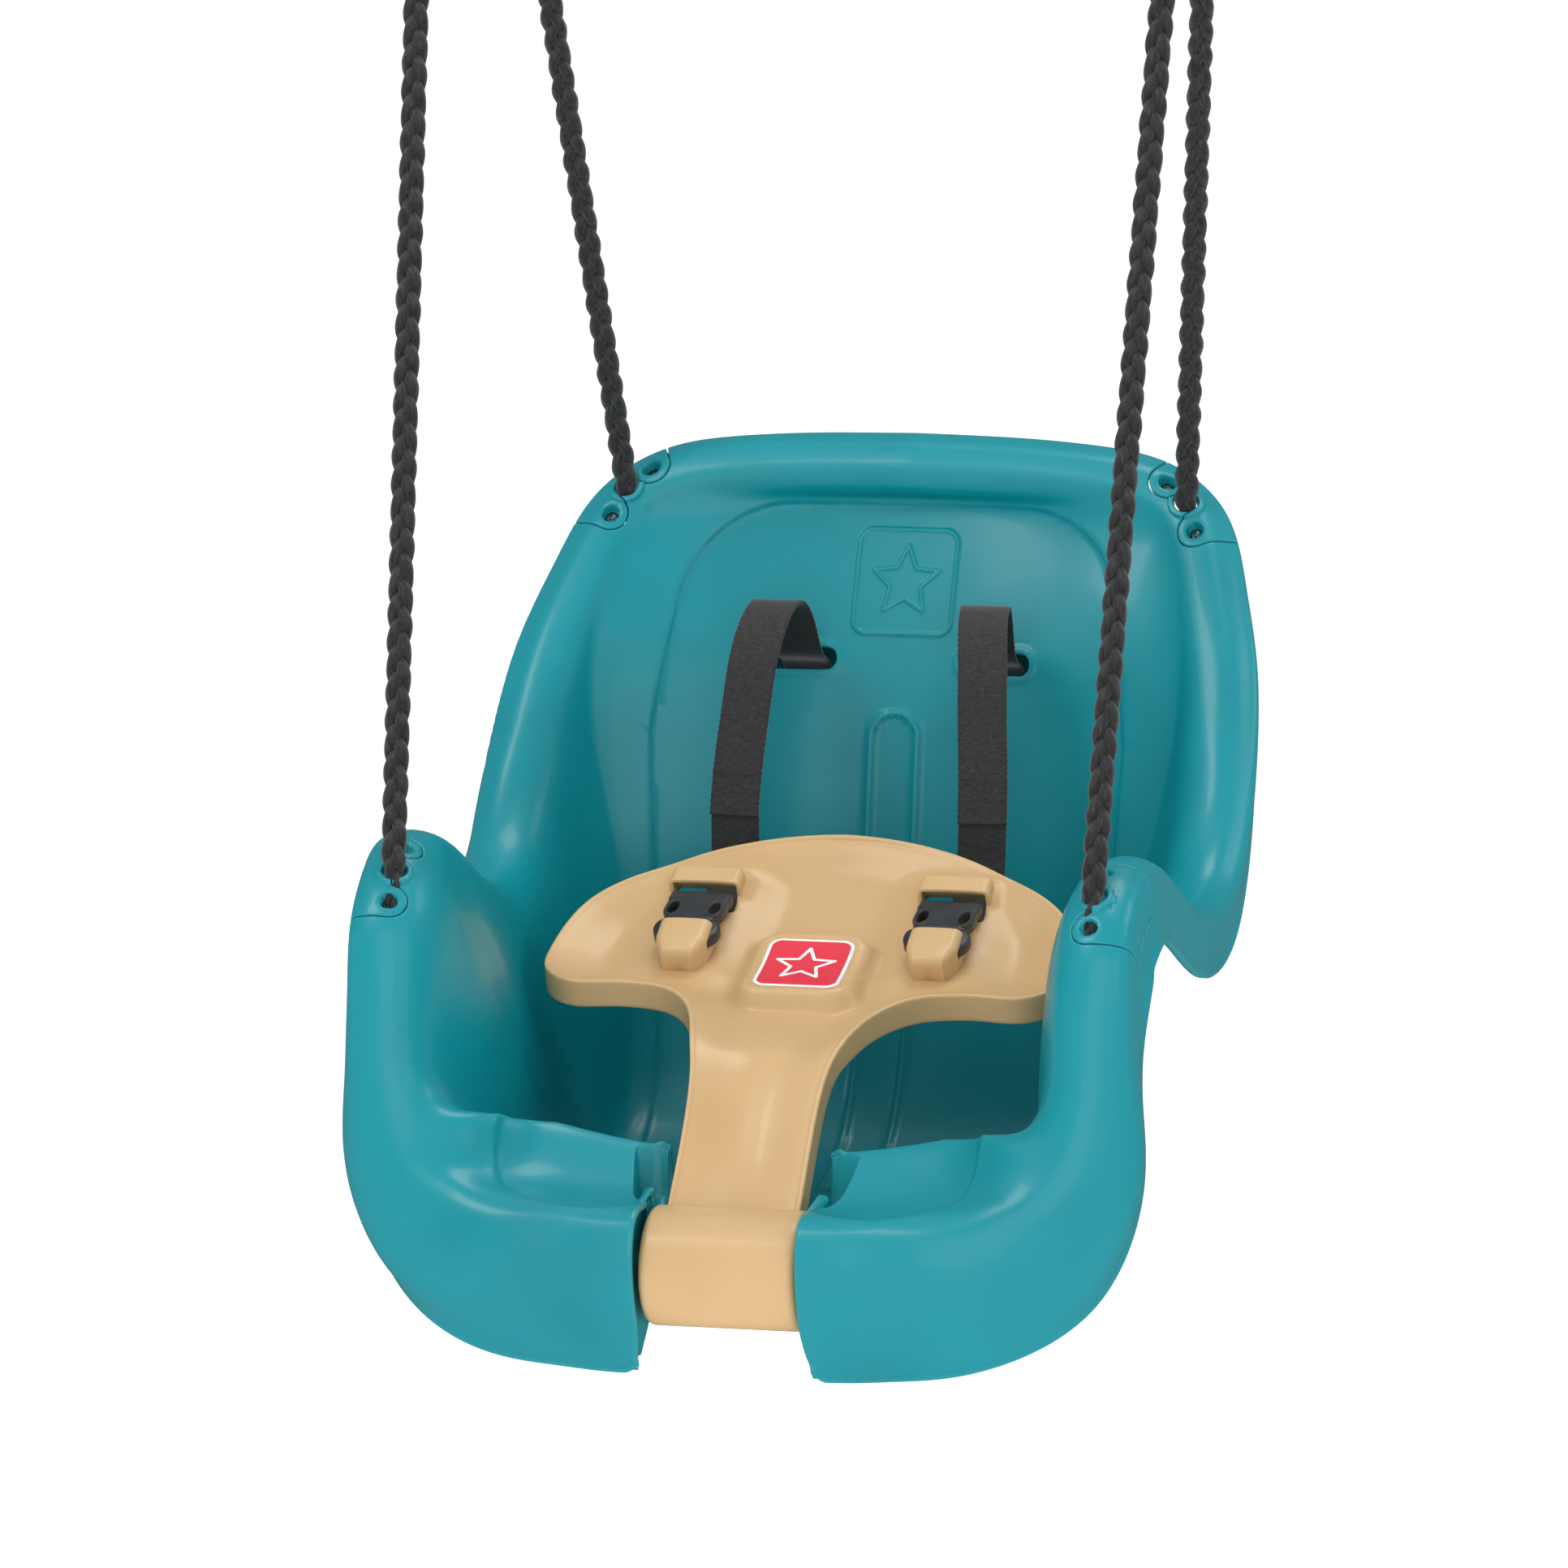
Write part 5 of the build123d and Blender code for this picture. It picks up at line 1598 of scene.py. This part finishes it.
def strap_guards():
    """Hooded guard behind each strap slot, open at the bottom where the strap leaves."""
    verts, faces = arch_shell(23, 24, 36, 1.0, 9, 2.2)
    x, y, z = verts.T
    data = np.stack([SLOT_X - x, 351.4 + z + 0.34 * y, 238 + y], 1), faces
    pair("strap_guard", data, TEAL, stands_for=False)


for build in (build_seat, knuckle_plates, build_bar, strap_guards, seat_screws, build_buckles, build_label,
              build_pin, build_straps, build_ropes):
    build()


# ---------------------------------------------------------------- stage

# Soft lights: name, place, size and power.
LIGHTS = (
    ("key", (-1.5, -1.7, 2.9), 1.2, 31), ("fill", (2.4, -1.9, 1.0), 1.8, 8),
    ("front", (0.5, -3.0, 0.9), 2.2, 18), ("top", (0.4, 0.5, 3.0), 1.3, 24),
    ("edge", (2.0, 0.6, 1.6), 0.8, 5),
)
AIM = (0.03, -0.2, 0.3)


def studio():
    """Pale floor with soft lights and a pale world."""
    bpy.ops.mesh.primitive_plane_add(size=40, location=(0, 0, -0.5))
    floor = bpy.context.object
    mat, nodes, links, surface = material("floor", 0.9)
    surface.inputs["Base Color"].default_value = (0.95, 0.95, 0.95, 1)
    surface.inputs["Emission Color"].default_value = (1, 1, 1, 1)
    surface.inputs["Emission Strength"].default_value = 0.45
    floor.data.materials.append(mat)
    floor.visible_glossy = False
    for name, place, size, power in LIGHTS:
        light = bpy.data.lights.new(name, "AREA")
        light.size = size
        light.energy = power
        lamp = bpy.data.objects.new(name, light)
        bpy.context.scene.collection.objects.link(lamp)
        lamp.location = place
        lamp.rotation_euler = (Vector(AIM) - lamp.location).to_track_quat("-Z", "Y").to_euler()
    pale_world()
    bpy.context.scene.view_settings.view_transform = "Standard"


def pale_world():
    """White to the camera, dimmer in what lights the swing and dimmest in its reflections."""
    world = bpy.data.worlds.new("world")
    bpy.context.scene.world = world
    world.use_nodes = True
    nodes, links = world.node_tree.nodes, world.node_tree.links
    path = nodes.new("ShaderNodeLightPath")
    seen = nodes.new("ShaderNodeMapRange")
    seen.inputs["To Min"].default_value = 0.72
    seen.inputs["To Max"].default_value = 1.0
    links.new(path.outputs["Is Camera Ray"], seen.inputs["Value"])
    strength = nodes.new("ShaderNodeMath")
    strength.operation = "MULTIPLY_ADD"
    strength.inputs[1].default_value = -0.57
    links.new(path.outputs["Is Glossy Ray"], strength.inputs[0])
    links.new(seen.outputs["Result"], strength.inputs[2])
    nodes["Background"].inputs[0].default_value = (1, 1, 1, 1)
    links.new(strength.outputs["Value"], nodes["Background"].inputs[1])


def camera():
    """Long lens from the front, a little to the right of the swing and above it."""
    data = bpy.data.cameras.new("camera")
    view = bpy.data.objects.new("camera", data)
    bpy.context.scene.collection.objects.link(view)
    turn, rise = math.radians(14), math.radians(8.2)
    target = (np.array([29.7, -10, 240.8]) + HINGE) * MM
    away = np.array([math.sin(turn) * math.cos(rise), -math.cos(turn) * math.cos(rise), math.sin(rise)])
    view.location = target + away * 5
    view.rotation_euler = Vector(-away).to_track_quat("-Z", "Y").to_euler()
    data.lens, data.sensor_width = 237.95, 36
    bpy.context.scene.camera = view


studio()
camera()
